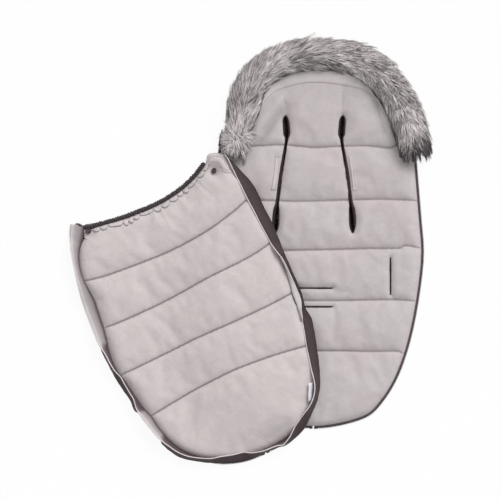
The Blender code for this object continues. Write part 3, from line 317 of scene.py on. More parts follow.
def inside_loop(points, loop):
    """Which plan points lie inside a closed loop."""
    result = np.zeros(len(points), dtype=bool)
    ends = np.roll(loop, -1, axis=0)
    for (ax, ay), (bx, by) in zip(loop, ends):
        if ay == by:
            continue
        crosses = (ay > points[:, 1]) != (by > points[:, 1])
        reach = ax + (bx - ax) * (points[:, 1] - ay) / (by - ay)
        result ^= crosses & (points[:, 0] < reach)
    return result


def distance_to_line(points, line, closed=False):
    """Distance of plan points from a line of points."""
    nearest = np.full(len(points), 1e9)
    ends = np.roll(line, -1, axis=0) if closed else line[1:]
    starts = line if closed else line[:-1]
    for a, b in zip(starts, ends):
        along = b - a
        size = float(along @ along)
        if size == 0.0:
            continue
        share = np.clip(((points - a) @ along) / size, 0.0, 1.0)
        nearest = np.minimum(nearest, np.hypot(*(points - a - share[:, None] * along).T))
    return nearest


def from_traced(points, line):
    """Distance of plan points from a line traced on the photograph."""
    return distance_to_line(points, plan_array(traced(line)))


def from_node(points, node):
    """Distance of plan points from the middle of a CAD node."""
    low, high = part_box(node)
    return np.hypot(points[:, 0] - (low.x + high.x) / 2.0, points[:, 1] - (low.y + high.y) / 2.0)


def cloth_plan(name, outline, holes, seams, grid, flank=0.0026):
    """A flat sheet of triangles inside an outline, with holes, and with rows of points along its seams.

    Gives the bmesh and each vertex's distance from the outline, the holes and the seams.
    """
    points = [Vector((point.x, point.y)) for point in outline]
    edges = [(index, (index + 1) % len(outline)) for index in range(len(outline))]
    for hole in holes:
        start = len(points)
        points += [Vector((point.x, point.y)) for point in hole]
        edges += [(start + index, start + (index + 1) % len(hole)) for index in range(len(hole))]
    outer = plan_array(outline)
    hole_arrays = [plan_array(hole) for hole in holes]

    def clear(spots, margin):
        kept = inside_loop(spots, outer) & (distance_to_line(spots, outer, True) > margin)
        for hole in hole_arrays:
            kept &= ~inside_loop(spots, hole) & (distance_to_line(spots, hole, True) > margin)
        return kept

    seam_arrays = []
    for seam in seams:
        line = plan_array(curve_through(seam, grid * 0.8))
        along = np.gradient(line, axis=0)
        along /= np.hypot(*along.T)[:, None]
        across = np.stack([-along[:, 1], along[:, 0]], axis=1)
        seam_arrays.append(line)
        for shift in (0.0, flank, -flank):
            row = line + shift * across
            row = row[clear(row, grid * 0.45)]
            points += [Vector(spot) for spot in row]
    low, high = outer.min(axis=0), outer.max(axis=0)
    rows = int((high[1] - low[1]) / (grid * 0.866)) + 1
    columns = int((high[0] - low[0]) / grid) + 1
    spread = np.random.default_rng(len(name))
    spots = []
    for row in range(rows):
        shift = 0.5 * (row % 2)
        across = low[0] + (np.arange(columns) + shift) * grid
        spots.append(np.stack([across, np.full(columns, low[1] + row * grid * 0.866)], axis=1))
    spots = np.concatenate(spots) + spread.uniform(-0.16, 0.16, (rows * columns, 2)) * grid
    kept = clear(spots, grid * 0.55)
    for line in seam_arrays:
        kept &= distance_to_line(spots, line) > flank + grid * 0.5
    points += [Vector(spot) for spot in spots[kept]]
    verts, _, faces, _, _, _ = delaunay_2d_cdt(points, edges, [], 0, 1e-7)
    flat = plan_array(verts)
    centres = np.array([flat[list(face)].mean(axis=0) for face in faces])
    solid = inside_loop(centres, outer)
    for hole in hole_arrays:
        solid &= ~inside_loop(centres, hole)
    bm = bmesh.new()
    made = [bm.verts.new((x, y, 0.0)) for x, y in flat]
    for face, kept_face in zip(faces, solid):
        if kept_face:
            bm.faces.new([made[index] for index in face])
    bmesh.ops.delete(bm, geom=[vert for vert in bm.verts if not vert.link_faces], context="VERTS")
    bmesh.ops.recalc_face_normals(bm, faces=bm.faces)
    if sum(face.normal.z for face in bm.faces) < 0.0:
        bmesh.ops.reverse_faces(bm, faces=bm.faces)
    bm.verts.index_update()
    places = plan_of(bm)
    from_edge = distance_to_line(places, outer, True)
    from_hole = np.full(len(places), 1.0)
    for hole in hole_arrays:
        from_hole = np.minimum(from_hole, distance_to_line(places, hole, True))
    from_seam = np.full(len(places), 1.0)
    for line in seam_arrays:
        from_seam = np.minimum(from_seam, distance_to_line(places, line))
    return bm, from_edge, from_hole, from_seam


def dome(distance, roll):
    """A quarter round from 0 at an edge to 1 at a distance from it."""
    share = np.clip(distance / roll, 0.0, 1.0)
    return np.sqrt(1.0 - (1.0 - share) ** 2)


def new_piece(name, bm, body, smooth=True):
    """An object of a finished bmesh that rides on a body."""
    bm.normal_update()
    mesh = bpy.data.meshes.new(name)
    bm.to_mesh(mesh)
    bm.free()
    if smooth:
        mesh.shade_smooth()
    piece = bpy.data.objects.new(name, mesh)
    scene.collection.objects.link(piece)
    if body:
        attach(piece, body)
    return piece


def inflate(bm, held, pressure, slack, cap, frames=20):
    """Blow a sheet up as cloth between its held points, and keep each point within a cap of its start."""
    start = np.array([vert.co.to_tuple() for vert in bm.verts])
    mesh = bpy.data.meshes.new("inflated")
    bm.to_mesh(mesh)
    blown = bpy.data.objects.new("inflated", mesh)
    scene.collection.objects.link(blown)
    pins = blown.vertex_groups.new(name="held")
    for index in np.flatnonzero(held > 0.0):
        pins.add([int(index)], float(held[index]), "REPLACE")
    cloth = blown.modifiers.new("cloth", "CLOTH")
    setting = cloth.settings
    setting.quality = 5
    setting.mass = 0.25
    setting.tension_stiffness = 18.0
    setting.compression_stiffness = 18.0
    setting.shear_stiffness = 8.0
    setting.bending_stiffness = 3.0
    setting.vertex_group_mass = "held"
    setting.pin_stiffness = 1.0
    setting.use_pressure = True
    setting.uniform_pressure_force = pressure
    setting.shrink_min = -slack
    setting.effector_weights.gravity = 0.0
    cloth.collision_settings.use_collision = False
    cloth.collision_settings.use_self_collision = False
    cloth.point_cache.frame_start = 1
    cloth.point_cache.frame_end = frames
    for number in range(1, frames + 1):
        scene.frame_set(number)
    shaped = blown.evaluated_get(bpy.context.evaluated_depsgraph_get())
    moved = np.empty(len(shaped.data.vertices) * 3)
    shaped.data.vertices.foreach_get("co", moved)
    moved = moved.reshape(-1, 3)
    scene.frame_set(1)
    step = moved - start
    size = np.linalg.norm(step, axis=1)
    step *= np.minimum(1.0, cap / np.maximum(size, 1e-9))[:, None]
    for vert, place in zip(bm.verts, start + step):
        vert.co = place
    free = [vert for vert, hold in zip(bm.verts, held) if not hold]
    for _ in range(3):
        bmesh.ops.smooth_vert(bm, verts=free, factor=0.5, use_axis_x=True, use_axis_y=True, use_axis_z=True)
    bpy.data.objects.remove(blown, do_unlink=True)
    bpy.data.meshes.remove(mesh)


def lined(bm, feet):
    """Give a puffed sheet an underside of its own, at the height that feet gives for each place."""
    grown = bmesh.ops.extrude_face_region(bm, geom=bm.faces[:])["geom"]
    top = {part for part in grown if isinstance(part, bmesh.types.BMVert)}
    low = [vert for vert in bm.verts if vert not in top]
    for vert, height in zip(low, feet(np.array([vert.co.to_tuple() for vert in low])[:, :2])):
        vert.co.z = min(height, vert.co.z - 0.0008)
    bmesh.ops.recalc_face_normals(bm, faces=bm.faces)


def thicken(bm, rise):
    """Give a sheet its second side, moved straight up or down."""
    grown = bmesh.ops.extrude_face_region(bm, geom=bm.faces[:])["geom"]
    moved = [part for part in grown if isinstance(part, bmesh.types.BMVert)]
    bmesh.ops.translate(bm, verts=moved, vec=(0.0, 0.0, rise))
    bmesh.ops.recalc_face_normals(bm, faces=bm.faces)


def close_down(bm, foot):
    """Close a puffed sheet: its open edges go down to a foot height, and the foot is filled."""
    rim = [edge for edge in bm.edges if edge.is_boundary]
    grown = bmesh.ops.extrude_edge_only(bm, edges=rim)["geom"]
    low = [part for part in grown if isinstance(part, bmesh.types.BMVert)]
    for vert in low:
        vert.co.z = foot(vert.co)
    below = set(low)
    foot_edges = [edge for edge in bm.edges if edge.is_boundary and below.issuperset(edge.verts)]
    bmesh.ops.triangle_fill(bm, use_beauty=True, use_dissolve=False, edges=foot_edges)
    bmesh.ops.recalc_face_normals(bm, faces=bm.faces)


def rise_towards(tree, place, fallback=0.01):
    """Height of a surface straight below or above a plan point."""
    hit = tree.ray_cast(Vector((place[0], place[1], 0.5)), Vector((0.0, 0.0, -1.0)))[0]
    return hit.z if hit else fallback


def surface_tree(piece):
    """A search tree of a finished piece's faces."""
    bm = bmesh.new()
    bm.from_mesh(piece.data)
    tree = BVHTree.FromBMesh(bm)
    bm.free()
    return tree


mat_loops = edge_loops("mat_shell")
mat_outline = curve_through([point.to_2d() for point in mat_loops[0]], MAT_GRID, closed=True)


def nearest_on(line, spot):
    """The nearest point of a line of plan points."""
    best = None
    for a, b in zip(line, line[1:]):
        along = b - a
        share = min(max((spot - a).dot(along) / along.length_squared, 0.0), 1.0)
        place = a + share * along
        if best is None or (spot - place).length < (spot - best).length:
            best = place
    return best


def slit_middle(loop):
    """The middle line that a slit's loop runs round."""
    centre = sum(loop, Vector((0.0, 0.0))) / len(loop)
    lines = [traced(line) for line in SLIT_MIDDLES]
    return min(lines, key=lambda line: (sum(line, Vector((0.0, 0.0))) / len(line) - centre).length)


def drawn_in(loop, share):
    """A slit's loop drawn in towards its middle line, keeping a share of its width."""
    middle = slit_middle(loop)
    return [nearest_on(middle, spot).lerp(spot, share) for spot in loop]


slit_loops = [curve_through([point.to_2d() for point in loop], SLIT_STEP, closed=True)
              for loop in mat_loops[1:]]
slit_loops = [drawn_in(loop, SHORT_SLIT_SHARE if len(loop) * SLIT_STEP < SHORT_SLIT_ROUND else 1.0)
              for loop in slit_loops]
mat_seams = [traced(seam) for seam in MAT_SEAMS]
bm, from_edge, from_slit, from_seam = cloth_plan("mat", mat_outline, slit_loops, mat_seams, MAT_GRID)


def mat_heights(spots, from_edge, from_slit, from_seam):
    """Height of the puffed lining at plan points, by their distances from what holds it down."""
    channel = dome(from_seam, MAT_CHANNEL_ROLL)
    crown = MAT_SEAM_HEIGHT + (MAT_CROWN - MAT_SEAM_HEIGHT) * channel
    slit_roll = (MAT_SEAM_HEIGHT + MAT_SLIT_RISE
                 + (MAT_CROWN - MAT_SEAM_HEIGHT) * dome(from_slit, MAT_SLIT_ROLL))
    crown = np.minimum(crown, slit_roll)
    for line, depth, width in MAT_CREASES:
        distance = from_traced(spots, line)
        crown = crown - depth * np.exp(-(distance / width) ** 2)
    heights = MAT_EDGE_HEIGHT + (crown - MAT_EDGE_HEIGHT) * dome(from_edge, MAT_EDGE_ROLL)
    for node in MAT_SNAPS:
        dent = 1.0 - np.clip((from_node(spots, node) - MAT_SNAP_RADIUS) / MAT_SNAP_FADE, 0.0, 1.0)
        heights = heights * (1.0 - dent) + (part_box(node)[0].z - MAT_SNAP_SEAT) * dent
    return heights


places = plan_of(bm)
heights = mat_heights(places, from_edge, from_slit, from_seam)
# The seam attribute holds painted shade: a thin dark line in each stitched groove, then darker strips along
# the hood's folds.
painted_shade_layer = bm.verts.layers.float.new("seam")
for vert, height, distance, edge_distance in zip(bm.verts, heights, from_seam, from_edge):
    ripple = noise.noise(vert.co * 34.0) + 0.6 * noise.noise(vert.co * 75.0)
    vert.co.z = height + MAT_RIPPLE * ripple * min(edge_distance / RIPPLE_FADE, 1.0)
    vert[painted_shade_layer] = MAT_LINE_SHADE * exp(-(distance / MAT_LINE_WIDTH) ** 2)
# Painted shade on the shaded sides of the hood's folds.
for line, shade, width in MAT_FOLD_SHADES:
    for vert, add in zip(bm.verts, shade * np.exp(-(from_traced(places, line) / width) ** 2)):
        vert[painted_shade_layer] = max(vert[painted_shade_layer], add)
held = (np.minimum(from_edge, from_slit) < HELD_AT_EDGE) | (from_seam < HELD_AT_SEAM)
held = held.astype(float)
for node in MAT_SNAPS:
    held[from_node(places, node) < MAT_SNAP_RADIUS + HELD_ROUND_SNAP] = 1.0
inflate(bm, held, QUILT_PRESSURE, QUILT_SLACK, MAT_PUFF_CAP)
bmesh.ops.subdivide_edges(bm, edges=bm.edges, cuts=1, use_grid_fill=True, smooth=0.6)
close_down(bm, lambda place: MAT_LINING_FOOT)
mat_quilt = new_piece("mat_quilted_lining", bm, "mat")
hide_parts("mat_lining", "mat_wadding")


def shader_nodes(name, roughness=0.9, metallic=0.0, sheen=0.0):
    """A new material with its Principled shader, ready for its own nodes."""
    material = bpy.data.materials.new(name)
    material.use_nodes = True
    shader = material.node_tree.nodes["Principled BSDF"]
    shader.inputs["Roughness"].default_value = roughness
    shader.inputs["Metallic"].default_value = metallic
    shader.inputs["Sheen Weight"].default_value = sheen
    shader.inputs["Sheen Roughness"].default_value = 0.5
    return material, shader, material.node_tree.nodes, material.node_tree.links


def add_node(nodes, kind, values=None, **settings):
    """A new shader node with its own settings, then the constants of its sockets."""
    node = nodes.new(f"ShaderNode{kind}")
    for name, setting in settings.items():
        setattr(node, name, setting)
    for name, value in (values or {}).items():
        node.inputs[name].default_value = value
    return node


def object_noise(nodes, links, **values):
    """A noise on the piece's own coordinates."""
    texture = add_node(nodes, "TexNoise", values)
    links.new(add_node(nodes, "TexCoord").outputs["Object"], texture.inputs["Vector"])
    return texture


def surface_group(name, inputs):
    """A node group that puts out a colour and a normal, with its entry and its exit."""
    group = bpy.data.node_groups.new(name, "ShaderNodeTree")
    for socket_name, kind, value in inputs:
        socket = group.interface.new_socket(socket_name, in_out="INPUT", socket_type=f"NodeSocket{kind}")
        socket.default_value = value
    group.interface.new_socket("Color", in_out="OUTPUT", socket_type="NodeSocketColor")
    group.interface.new_socket("Normal", in_out="OUTPUT", socket_type="NodeSocketVector")
    return group, group.nodes.new("NodeGroupInput"), group.nodes.new("NodeGroupOutput")


def srgb(red, green, blue):
    """A colour given as the 0 to 255 values of a picture, in linear light."""
    def linear(value):
        value /= 255.0
        return value / 12.92 if value <= 0.04045 else ((value + 0.055) / 1.055) ** 2.4
    return (linear(red), linear(green), linear(blue), 1.0)


def fleece_nap_group():
    """Brushed fleece: soft patches where the nap lies another way, a short woolly pile, and the painted shade
    of the seam attribute.
    """
    group, entry, leave = surface_group("fleece_nap", (
        ("Warm", "Color", srgb(199, 188, 190)), ("Cool", "Color", srgb(198, 196, 195)),
        ("Shade", "Color", srgb(150, 138, 141)), ("Patch Scale", "Float", 9.0), ("Pile", "Float", 0.35)))
    nodes, links = group.nodes, group.links
    patches = object_noise(nodes, links, Detail=3.0, Distortion=0.6)
    links.new(entry.outputs["Patch Scale"], patches.inputs["Scale"])
    tint = add_node(nodes, "MapRange", {"From Min": 0.38, "From Max": 0.62})
    links.new(patches.outputs["Fac"], tint.inputs["Value"])
    hue = add_node(nodes, "Mix", data_type="RGBA")
    links.new(tint.outputs["Result"], hue.inputs["Factor"])
    links.new(entry.outputs["Warm"], hue.inputs["A"])
    links.new(entry.outputs["Cool"], hue.inputs["B"])
    strokes = object_noise(nodes, links, Scale=46.0, Detail=4.0, Roughness=0.62, Distortion=1.2)
    brushed = add_node(nodes, "MapRange", {"From Min": 0.30, "From Max": 0.70, "To Min": 0.14, "To Max": 0.0})
    links.new(strokes.outputs["Fac"], brushed.inputs["Value"])
    # The seam attribute is painted shade in grooves, folds and hollows; it draws the colour towards Shade.
    seam = add_node(nodes, "Attribute", attribute_name="seam")
    shade = add_node(nodes, "Math", operation="MAXIMUM")
    links.new(brushed.outputs["Result"], shade.inputs[0])
    links.new(seam.outputs["Fac"], shade.inputs[1])
    shaded = add_node(nodes, "Mix", data_type="RGBA")
    links.new(shade.outputs[0], shaded.inputs["Factor"])
    links.new(hue.outputs["Result"], shaded.inputs["A"])
    links.new(entry.outputs["Shade"], shaded.inputs["B"])
    links.new(shaded.outputs["Result"], leave.inputs["Color"])
    pile = object_noise(nodes, links, Scale=520.0, Detail=2.0)
    both = add_node(nodes, "Math", {1: 3.0}, operation="MULTIPLY_ADD")
    links.new(strokes.outputs["Fac"], both.inputs[0])
    links.new(pile.outputs["Fac"], both.inputs[2])
    bump = add_node(nodes, "Bump", {"Distance": 0.0008})
    links.new(entry.outputs["Pile"], bump.inputs["Strength"])
    links.new(both.outputs[0], bump.inputs["Height"])
    links.new(bump.outputs["Normal"], leave.inputs["Normal"])
    return group


fleece_nap = fleece_nap_group()


def fleece(name, warm, cool, shade, patch_scale=9.0, pile=0.35):
    material, shader, nodes, links = shader_nodes(name, roughness=0.95, sheen=0.10)
    nap = nodes.new("ShaderNodeGroup")
    nap.node_tree = fleece_nap
    nap.inputs["Warm"].default_value = warm
    nap.inputs["Cool"].default_value = cool
    nap.inputs["Shade"].default_value = shade
    nap.inputs["Patch Scale"].default_value = patch_scale
    nap.inputs["Pile"].default_value = pile
    links.new(nap.outputs["Color"], shader.inputs["Base Color"])
    links.new(nap.outputs["Normal"], shader.inputs["Normal"])
    return material


mat_fleece = fleece("mat_fleece", srgb(200, 190, 192), srgb(199, 194, 194), srgb(120, 106, 110))
mat_quilt.data.materials.append(mat_fleece)


# Back mat: the outer shell. Dark plum woven cloth lies under the wadding, right side down. It is cut
# to the same outline, and its harness slits lie shut until a strap opens them.
SHELL_THICKNESS = 0.0011
SHELL_GRID = 0.018


def woven_cloth_group():
    """Plain woven cloth: crossing threads as a fine relief, and a slightly uneven dye."""
    group, entry, leave = surface_group("woven_cloth", (
        ("Thread", "Color", srgb(84, 70, 73)), ("Gap", "Color", srgb(62, 50, 54)),
        ("Threads", "Float", 900.0), ("Relief", "Float", 0.3)))
    nodes, links = group.nodes, group.links
    place = add_node(nodes, "TexCoord")
    weave = add_node(nodes, "Math", operation="MULTIPLY")
    for index, direction in enumerate("XY"):
        wave = add_node(nodes, "TexWave", {"Distortion": 0.8, "Detail": 1.0}, bands_direction=direction)
        links.new(place.outputs["Object"], wave.inputs["Vector"])
        links.new(entry.outputs["Threads"], wave.inputs["Scale"])
        links.new(wave.outputs["Fac"], weave.inputs[index])
    dye = object_noise(nodes, links, Scale=30.0, Detail=5.0)
    worn = add_node(nodes, "Math", {1: 0.8}, operation="MULTIPLY_ADD")
    links.new(dye.outputs["Fac"], worn.inputs[0])
    links.new(weave.outputs[0], worn.inputs[2])
    colour = add_node(nodes, "Mix", data_type="RGBA")
    links.new(worn.outputs[0], colour.inputs["Factor"])
    links.new(entry.outputs["Gap"], colour.inputs["A"])
    links.new(entry.outputs["Thread"], colour.inputs["B"])
    links.new(colour.outputs["Result"], leave.inputs["Color"])
    bump = add_node(nodes, "Bump", {"Distance": 0.0003})
    links.new(entry.outputs["Relief"], bump.inputs["Strength"])
    links.new(weave.outputs[0], bump.inputs["Height"])
    links.new(bump.outputs["Normal"], leave.inputs["Normal"])
    return group


woven_cloth = woven_cloth_group()


def cloth(name, thread, gap, threads=900.0, relief=0.3, roughness=0.8, sheen=0.05, fold=None):
    """A woven cloth's material. A fold colour, where given, is painted shade: the seam attribute draws the
    cloth towards it in folds and hollows.
    """
    material, shader, nodes, links = shader_nodes(name, roughness=roughness, sheen=sheen)
    weave = nodes.new("ShaderNodeGroup")
    weave.node_tree = woven_cloth
    weave.inputs["Thread"].default_value = thread
    weave.inputs["Gap"].default_value = gap
    weave.inputs["Threads"].default_value = threads
    weave.inputs["Relief"].default_value = relief
    links.new(weave.outputs["Normal"], shader.inputs["Normal"])
    if not fold:
        links.new(weave.outputs["Color"], shader.inputs["Base Color"])
        return material
    painted_fold_shade = add_node(nodes, "Attribute", attribute_name="seam")
    shaded = add_node(nodes, "Mix", {"B": fold}, data_type="RGBA")
    links.new(painted_fold_shade.outputs["Fac"], shaded.inputs["Factor"])
    links.new(weave.outputs["Color"], shaded.inputs["A"])
    links.new(shaded.outputs["Result"], shader.inputs["Base Color"])
    return material


plum_cloth = cloth("plum_cloth", srgb(72, 57, 61), srgb(52, 40, 44))
narrow_slits = [drawn_in(loop, 0.03) for loop in slit_loops]
bm, *_ = cloth_plan("shell", mat_outline, narrow_slits, [], SHELL_GRID)
bmesh.ops.translate(bm, verts=bm.verts, vec=(0.0, 0.0, SHELL_THICKNESS + 0.0001))
thicken(bm, -SHELL_THICKNESS)
mat_back = new_piece("mat_outer_shell", bm, "mat", smooth=False)
mat_back.data.materials.append(plum_cloth)
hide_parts("mat_shell")


# Harness slits: their bindings. A dark tape is folded over the cut edges of lining, wadding and shell
# and stitched down all round. Its two lips nearly meet along the narrow stretch of a shoulder slit.
BINDING_LIP = 0.0013
# Rows of the binding's section: share inwards, on the lining's top or not, rise, and painted shade, near
# black on the inner walls where the slit lies in shadow.
BINDING_SECTION = (
    (0.04, 0.0, 0.0020, 0.6), (0.03, 1.0, -0.0002, 0.3), (0.12, 1.0, BINDING_LIP * 0.8, 0.0),
    (0.32, 1.0, BINDING_LIP, 0.0), (0.48, 1.0, BINDING_LIP * 0.5, 0.15), (0.55, 1.0, -0.0020, 1.0),
    (0.92, 1.0, -0.0040, 1.0), (0.999, 0.0, 0.0024, 1.0))


def ring_pairs(ring, closed):
    """Each vertex of a ring with the next one."""
    return list(zip(ring, ring[1:] + ring[:1] if closed else ring[1:]))


def next_ring(bm, ring, places, closed=True):
    """Extrude a ring of vertices to new places, and give the new ring in the same order."""
    edges = [bm.edges.get(pair) for pair in ring_pairs(ring, closed)]
    grown = bmesh.ops.extrude_edge_only(bm, edges=edges)["geom"]
    new = {part for part in grown if isinstance(part, bmesh.types.BMVert)}
    following = []
    for vert, place in zip(ring, places):
        twin = next(edge.other_vert(vert) for edge in vert.link_edges if edge.other_vert(vert) in new)
        twin.co = place
        following.append(twin)
    return following


def loft(rings, closed_ring=True, closed_path=False, capped=True, shades=None):
    """A bmesh skin through matching rings of points, its ends joined or capped.

    The shades, one for each point, are painted shade: they darken the folds and hollows of the finished
    cloth.
    """
    bm = bmesh.new()
    painted_shade_layer = bm.verts.layers.float.new("seam")
    first = [bm.verts.new(place) for place in rings[0]]
    skin = [first]
    pairs = ring_pairs(first, closed_ring)
    for pair in pairs:
        bm.edges.new(pair)
    ring = first
    for places in rings[1:]:
        ring = next_ring(bm, ring, places, closed_ring)
        skin.append(ring)
    if shades:
        for ring_shades, verts in zip(shades, skin):
            for shade, vert in zip(ring_shades, verts):
                vert[painted_shade_layer] = shade
    if closed_path:
        for (a, b), (c, d) in zip(pairs, ring_pairs(ring, closed_ring)):
            bm.faces.new((a, b, d, c))
    elif capped and closed_ring:
        bmesh.ops.contextual_create(bm, geom=first)
        bmesh.ops.contextual_create(bm, geom=ring)
    bmesh.ops.recalc_face_normals(bm, faces=bm.faces)
    return bm


def add_tape_stitches(bm, line, rise, length, pitch, width=0.0006):
    """Rows of short stitches laid along a line of points, as small rounded bars."""
    total = 0.0
    upcoming = pitch * 0.5
    for a, b in zip(line, line[1:]):
        span = (b - a).length
        while upcoming <= total + span:
            place = a.lerp(b, (upcoming - total) / span if span else 0.0)
            along = (b - a).normalized()
            turn = along.to_track_quat("X", "Z").to_matrix().to_4x4()
            turn = Matrix.Translation(place + Vector((0.0, 0.0, rise))) @ turn
            size = Matrix.Diagonal((length, width, width * 0.6, 1.0))
            bmesh.ops.create_cube(bm, size=1.0, matrix=turn @ size)
            upcoming += pitch
        total += span


# The fold colour is painted shade, near black, for the inside of the slit.
binding_tape = cloth("binding_tape", srgb(66, 55, 59), srgb(44, 34, 38), threads=1500.0, relief=0.4,
                     sheen=0.0, fold=srgb(14, 6, 9))
binding_tape.node_tree.nodes["Principled BSDF"].inputs["Specular IOR Level"].default_value = 0.12
binding_nodes = ("shoulder_slit_binding_right", "shoulder_slit_binding_left", "crotch_slit_binding_upper",
                 "crotch_slit_binding_lower", "waist_slit_binding_right", "waist_slit_binding_left")
for loop in slit_loops:
    spots = plan_array(loop)
    from_edge = distance_to_line(spots, plan_array(mat_outline), True)
    from_seam = np.full(len(spots), 1.0)
    for seam in mat_seams:
        from_seam = np.minimum(from_seam, distance_to_line(spots, plan_array(seam)))
    tops = mat_heights(spots, from_edge, np.zeros(len(spots)), from_seam)
    middle = slit_middle(loop)
    rings = []
    for inward, on_top, rise, _ in BINDING_SECTION:
        ring = []
        for spot, top in zip(loop, tops):
            centre = nearest_on(middle, spot)
            half = max((spot - centre).length, 1e-6)
            share = inward if half > 0.0045 else min(inward * 1.45, 0.999)
            place = spot.lerp(centre, share)
            ring.append(Vector((place.x, place.y, (top if on_top else 0.0) + rise)))
        rings.append(ring)
    # The section's last column is painted shade.
    bm = loft(rings, closed_path=True, shades=[[shade] * len(loop) for *_, shade in BINDING_SECTION])
    centre = sum(loop, Vector((0.0, 0.0))) / len(loop)
    node = min(binding_nodes,
               key=lambda name: ((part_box(name)[0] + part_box(name)[1]).to_2d() / 2.0 - centre).length)
    piece = new_piece(f"{node}_tape", bm, "mat")
    piece.data.materials.append(binding_tape)
    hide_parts(node)


# Side slots: narrow welts of lining cloth beside the shoulder slits, closed by two rows of stitches,
# with a shut cut between them for a second strap position.
WELT_HALF_WIDTH = 0.0052
WELT_LINES = (
    ("side_slot_welt_right", ((350.6, 156.5), (352.6, 172.0), (354.8, 190.0))),
    ("side_slot_welt_left", ((277.4, 156.5), (276.0, 172.0), (273.2, 190.0))),
)
WELT_SECTION = (
    (-1.0, 0.0002), (-0.9, 0.0009), (-0.45, 0.0015), (-0.12, 0.0012), (0.0, 0.0002), (0.12, 0.0012),
    (0.45, 0.0015), (0.9, 0.0009), (1.0, 0.0002))
STITCH_LENGTH = 0.0026


def laid(tree, place, rise):
    """A plan point on the surface under it, raised by a little."""
    return Vector((place.x, place.y, rise_towards(tree, place) + rise))


mat_tree = surface_tree(mat_quilt)
welt_fleece = fleece("welt_fleece", srgb(212, 204, 205), srgb(209, 204, 204), srgb(150, 138, 141), pile=0.2)
stitch_thread = cloth("stitch_thread", srgb(132, 119, 123), srgb(104, 92, 96), threads=3000.0)
for node, line in WELT_LINES:
    middle = curve_through(traced(line), 0.004)
    rings = []
    rows = ([], [])
    for index, spot in enumerate(middle):
        ahead = middle[min(index + 1, len(middle) - 1)] - middle[max(index - 1, 0)]
        across = Vector((ahead.y, -ahead.x)).normalized()
        ring = []
        for share, rise in WELT_SECTION:
            place = spot + share * WELT_HALF_WIDTH * across
            ring.append(laid(mat_tree, place, rise))
        for row, side in zip(rows, (-0.72, 0.72)):
            row.append(laid(mat_tree, spot + side * WELT_HALF_WIDTH * across, 0.0012))
        low = [place - Vector((0.0, 0.0, 0.0008)) for place in reversed(ring)]
        rings.append(ring + low)
    bm = loft(rings)
    welt = new_piece(f"{node}_cloth", bm, "mat")
    welt.data.materials.append(welt_fleece)
    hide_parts(node)
    bm = bmesh.new()
    for row in rows:
        add_tape_stitches(bm, row, 0.0, STITCH_LENGTH, 0.0036)
    stitches = new_piece(f"{node}_stitches", bm, "mat", smooth=False)
    stitches.data.materials.append(stitch_thread)


# Hood facing: a lighter fleece strip that follows the hood inside the fur trim, stitched to the
# lining along a shallow arc. Its outer edge runs under the fur.
FACING_INNER = (
    (256.0, 116.0), (262.0, 105.0), (275.0, 92.3), (295.0, 85.4), (315.0, 83.0), (340.0, 85.3),
    (367.0, 91.2), (377.0, 100.0), (384.0, 112.0))
FACING_OUTER = (
    (244.0, 108.0), (252.0, 92.0), (266.0, 76.0), (290.0, 64.0), (315.0, 61.0), (341.0, 62.5),
    (372.0, 74.0), (387.0, 88.0), (396.0, 106.0))
FACING_ROWS = ((0.0, 0.0006), (0.04, 0.0024), (0.14, 0.0034), (0.4, 0.0040), (0.7, 0.0034), (1.0, 0.0012))
inner = curve_through(traced(FACING_INNER), 0.005)
outer = curve_through(traced(FACING_OUTER), 0.005)
rings = []
for index, spot in enumerate(inner):
    across = outer[min(round(index * (len(outer) - 1) / (len(inner) - 1)), len(outer) - 1)]
    ring = []
    for share, rise in FACING_ROWS:
        ring.append(laid(mat_tree, spot.lerp(across, share), rise))
    low = [place - Vector((0.0, 0.0, 0.0014)) for place in reversed(ring)]
    rings.append(ring + low)
bm = loft(rings)
facing = new_piece("hood_facing_strip", bm, "mat")
facing.data.materials.append(welt_fleece)
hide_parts("hood_facing")


# Zip of the mat: two half zips run from the sides of the hood round to a small gap at the foot. Each
# is a dark woven tape sewn into the edge seam, with a close row of moulded plastic teeth along it.
TAPE_SECTION = ((-0.0022, 0.0026), (0.0050, 0.0026), (0.0050, 0.0035), (-0.0022, 0.0036))
TAPE_TOP_END = 0.3030
ZIP_STEP = 0.005
TOOTH_PITCH = 0.0025
TOOTH_SIZE = (0.0015, 0.0023, 0.0021)
TOOTH_OFFSET = 0.00555
TOOTH_HEIGHT = 0.0033
MAT_HALVES = (("left", -1.0, -0.0030), ("right", 1.0, 0.0002))


def half_edge(outline, centre, side, start, end):
    """The outline's stretch on one side, upwards from a start across the foot to an end height."""
    run = [spot for spot in outline if (spot.x - start) * side > 0.0 and spot.y < end]
    run.sort(key=lambda spot: side * atan2(spot.x - centre.x, -(spot.y - centre.y)))
    return [Vector((start, run[0].y))] + run


def side_normals(line, side):
    """Normals that point out of the object along a line that runs upwards on one side."""
    normals = []
    for index in range(len(line)):
        ahead = line[min(index + 1, len(line) - 1)] - line[max(index - 1, 0)]
        normals.append(Vector((ahead.y, -ahead.x)).to_2d().normalized() * side)
    return normals


def strip_along(line, normals, section, base):
    """Rings of a flat strip along a line, from (outwards, up) sizes over the base height."""
    rings = []
    for spot, normal in zip(line, normals):
        ground = base(spot)
        rings.append([Vector((*(spot + out * normal), ground + up)) for out, up in section])
    return rings


def add_teeth(bm, line, side, base, skip):
    """A close row of small moulded teeth, square to the line."""
    fine = curve_through(line, TOOTH_PITCH)
    for spot, normal in zip(fine, side_normals(fine, side)):
        if skip(spot):
            continue
        along = Vector((-normal.y, normal.x, 0.0))
        place = Vector((*(spot + TOOTH_OFFSET * normal), base(spot) + TOOTH_HEIGHT))
        turn = Matrix((along, (*normal, 0.0), (0.0, 0.0, 1.0))).transposed().to_4x4()
        shape = Matrix.Translation(place) @ turn @ Matrix.Diagonal((*TOOTH_SIZE, 1.0))
        bmesh.ops.create_cube(bm, size=1.0, matrix=shape)


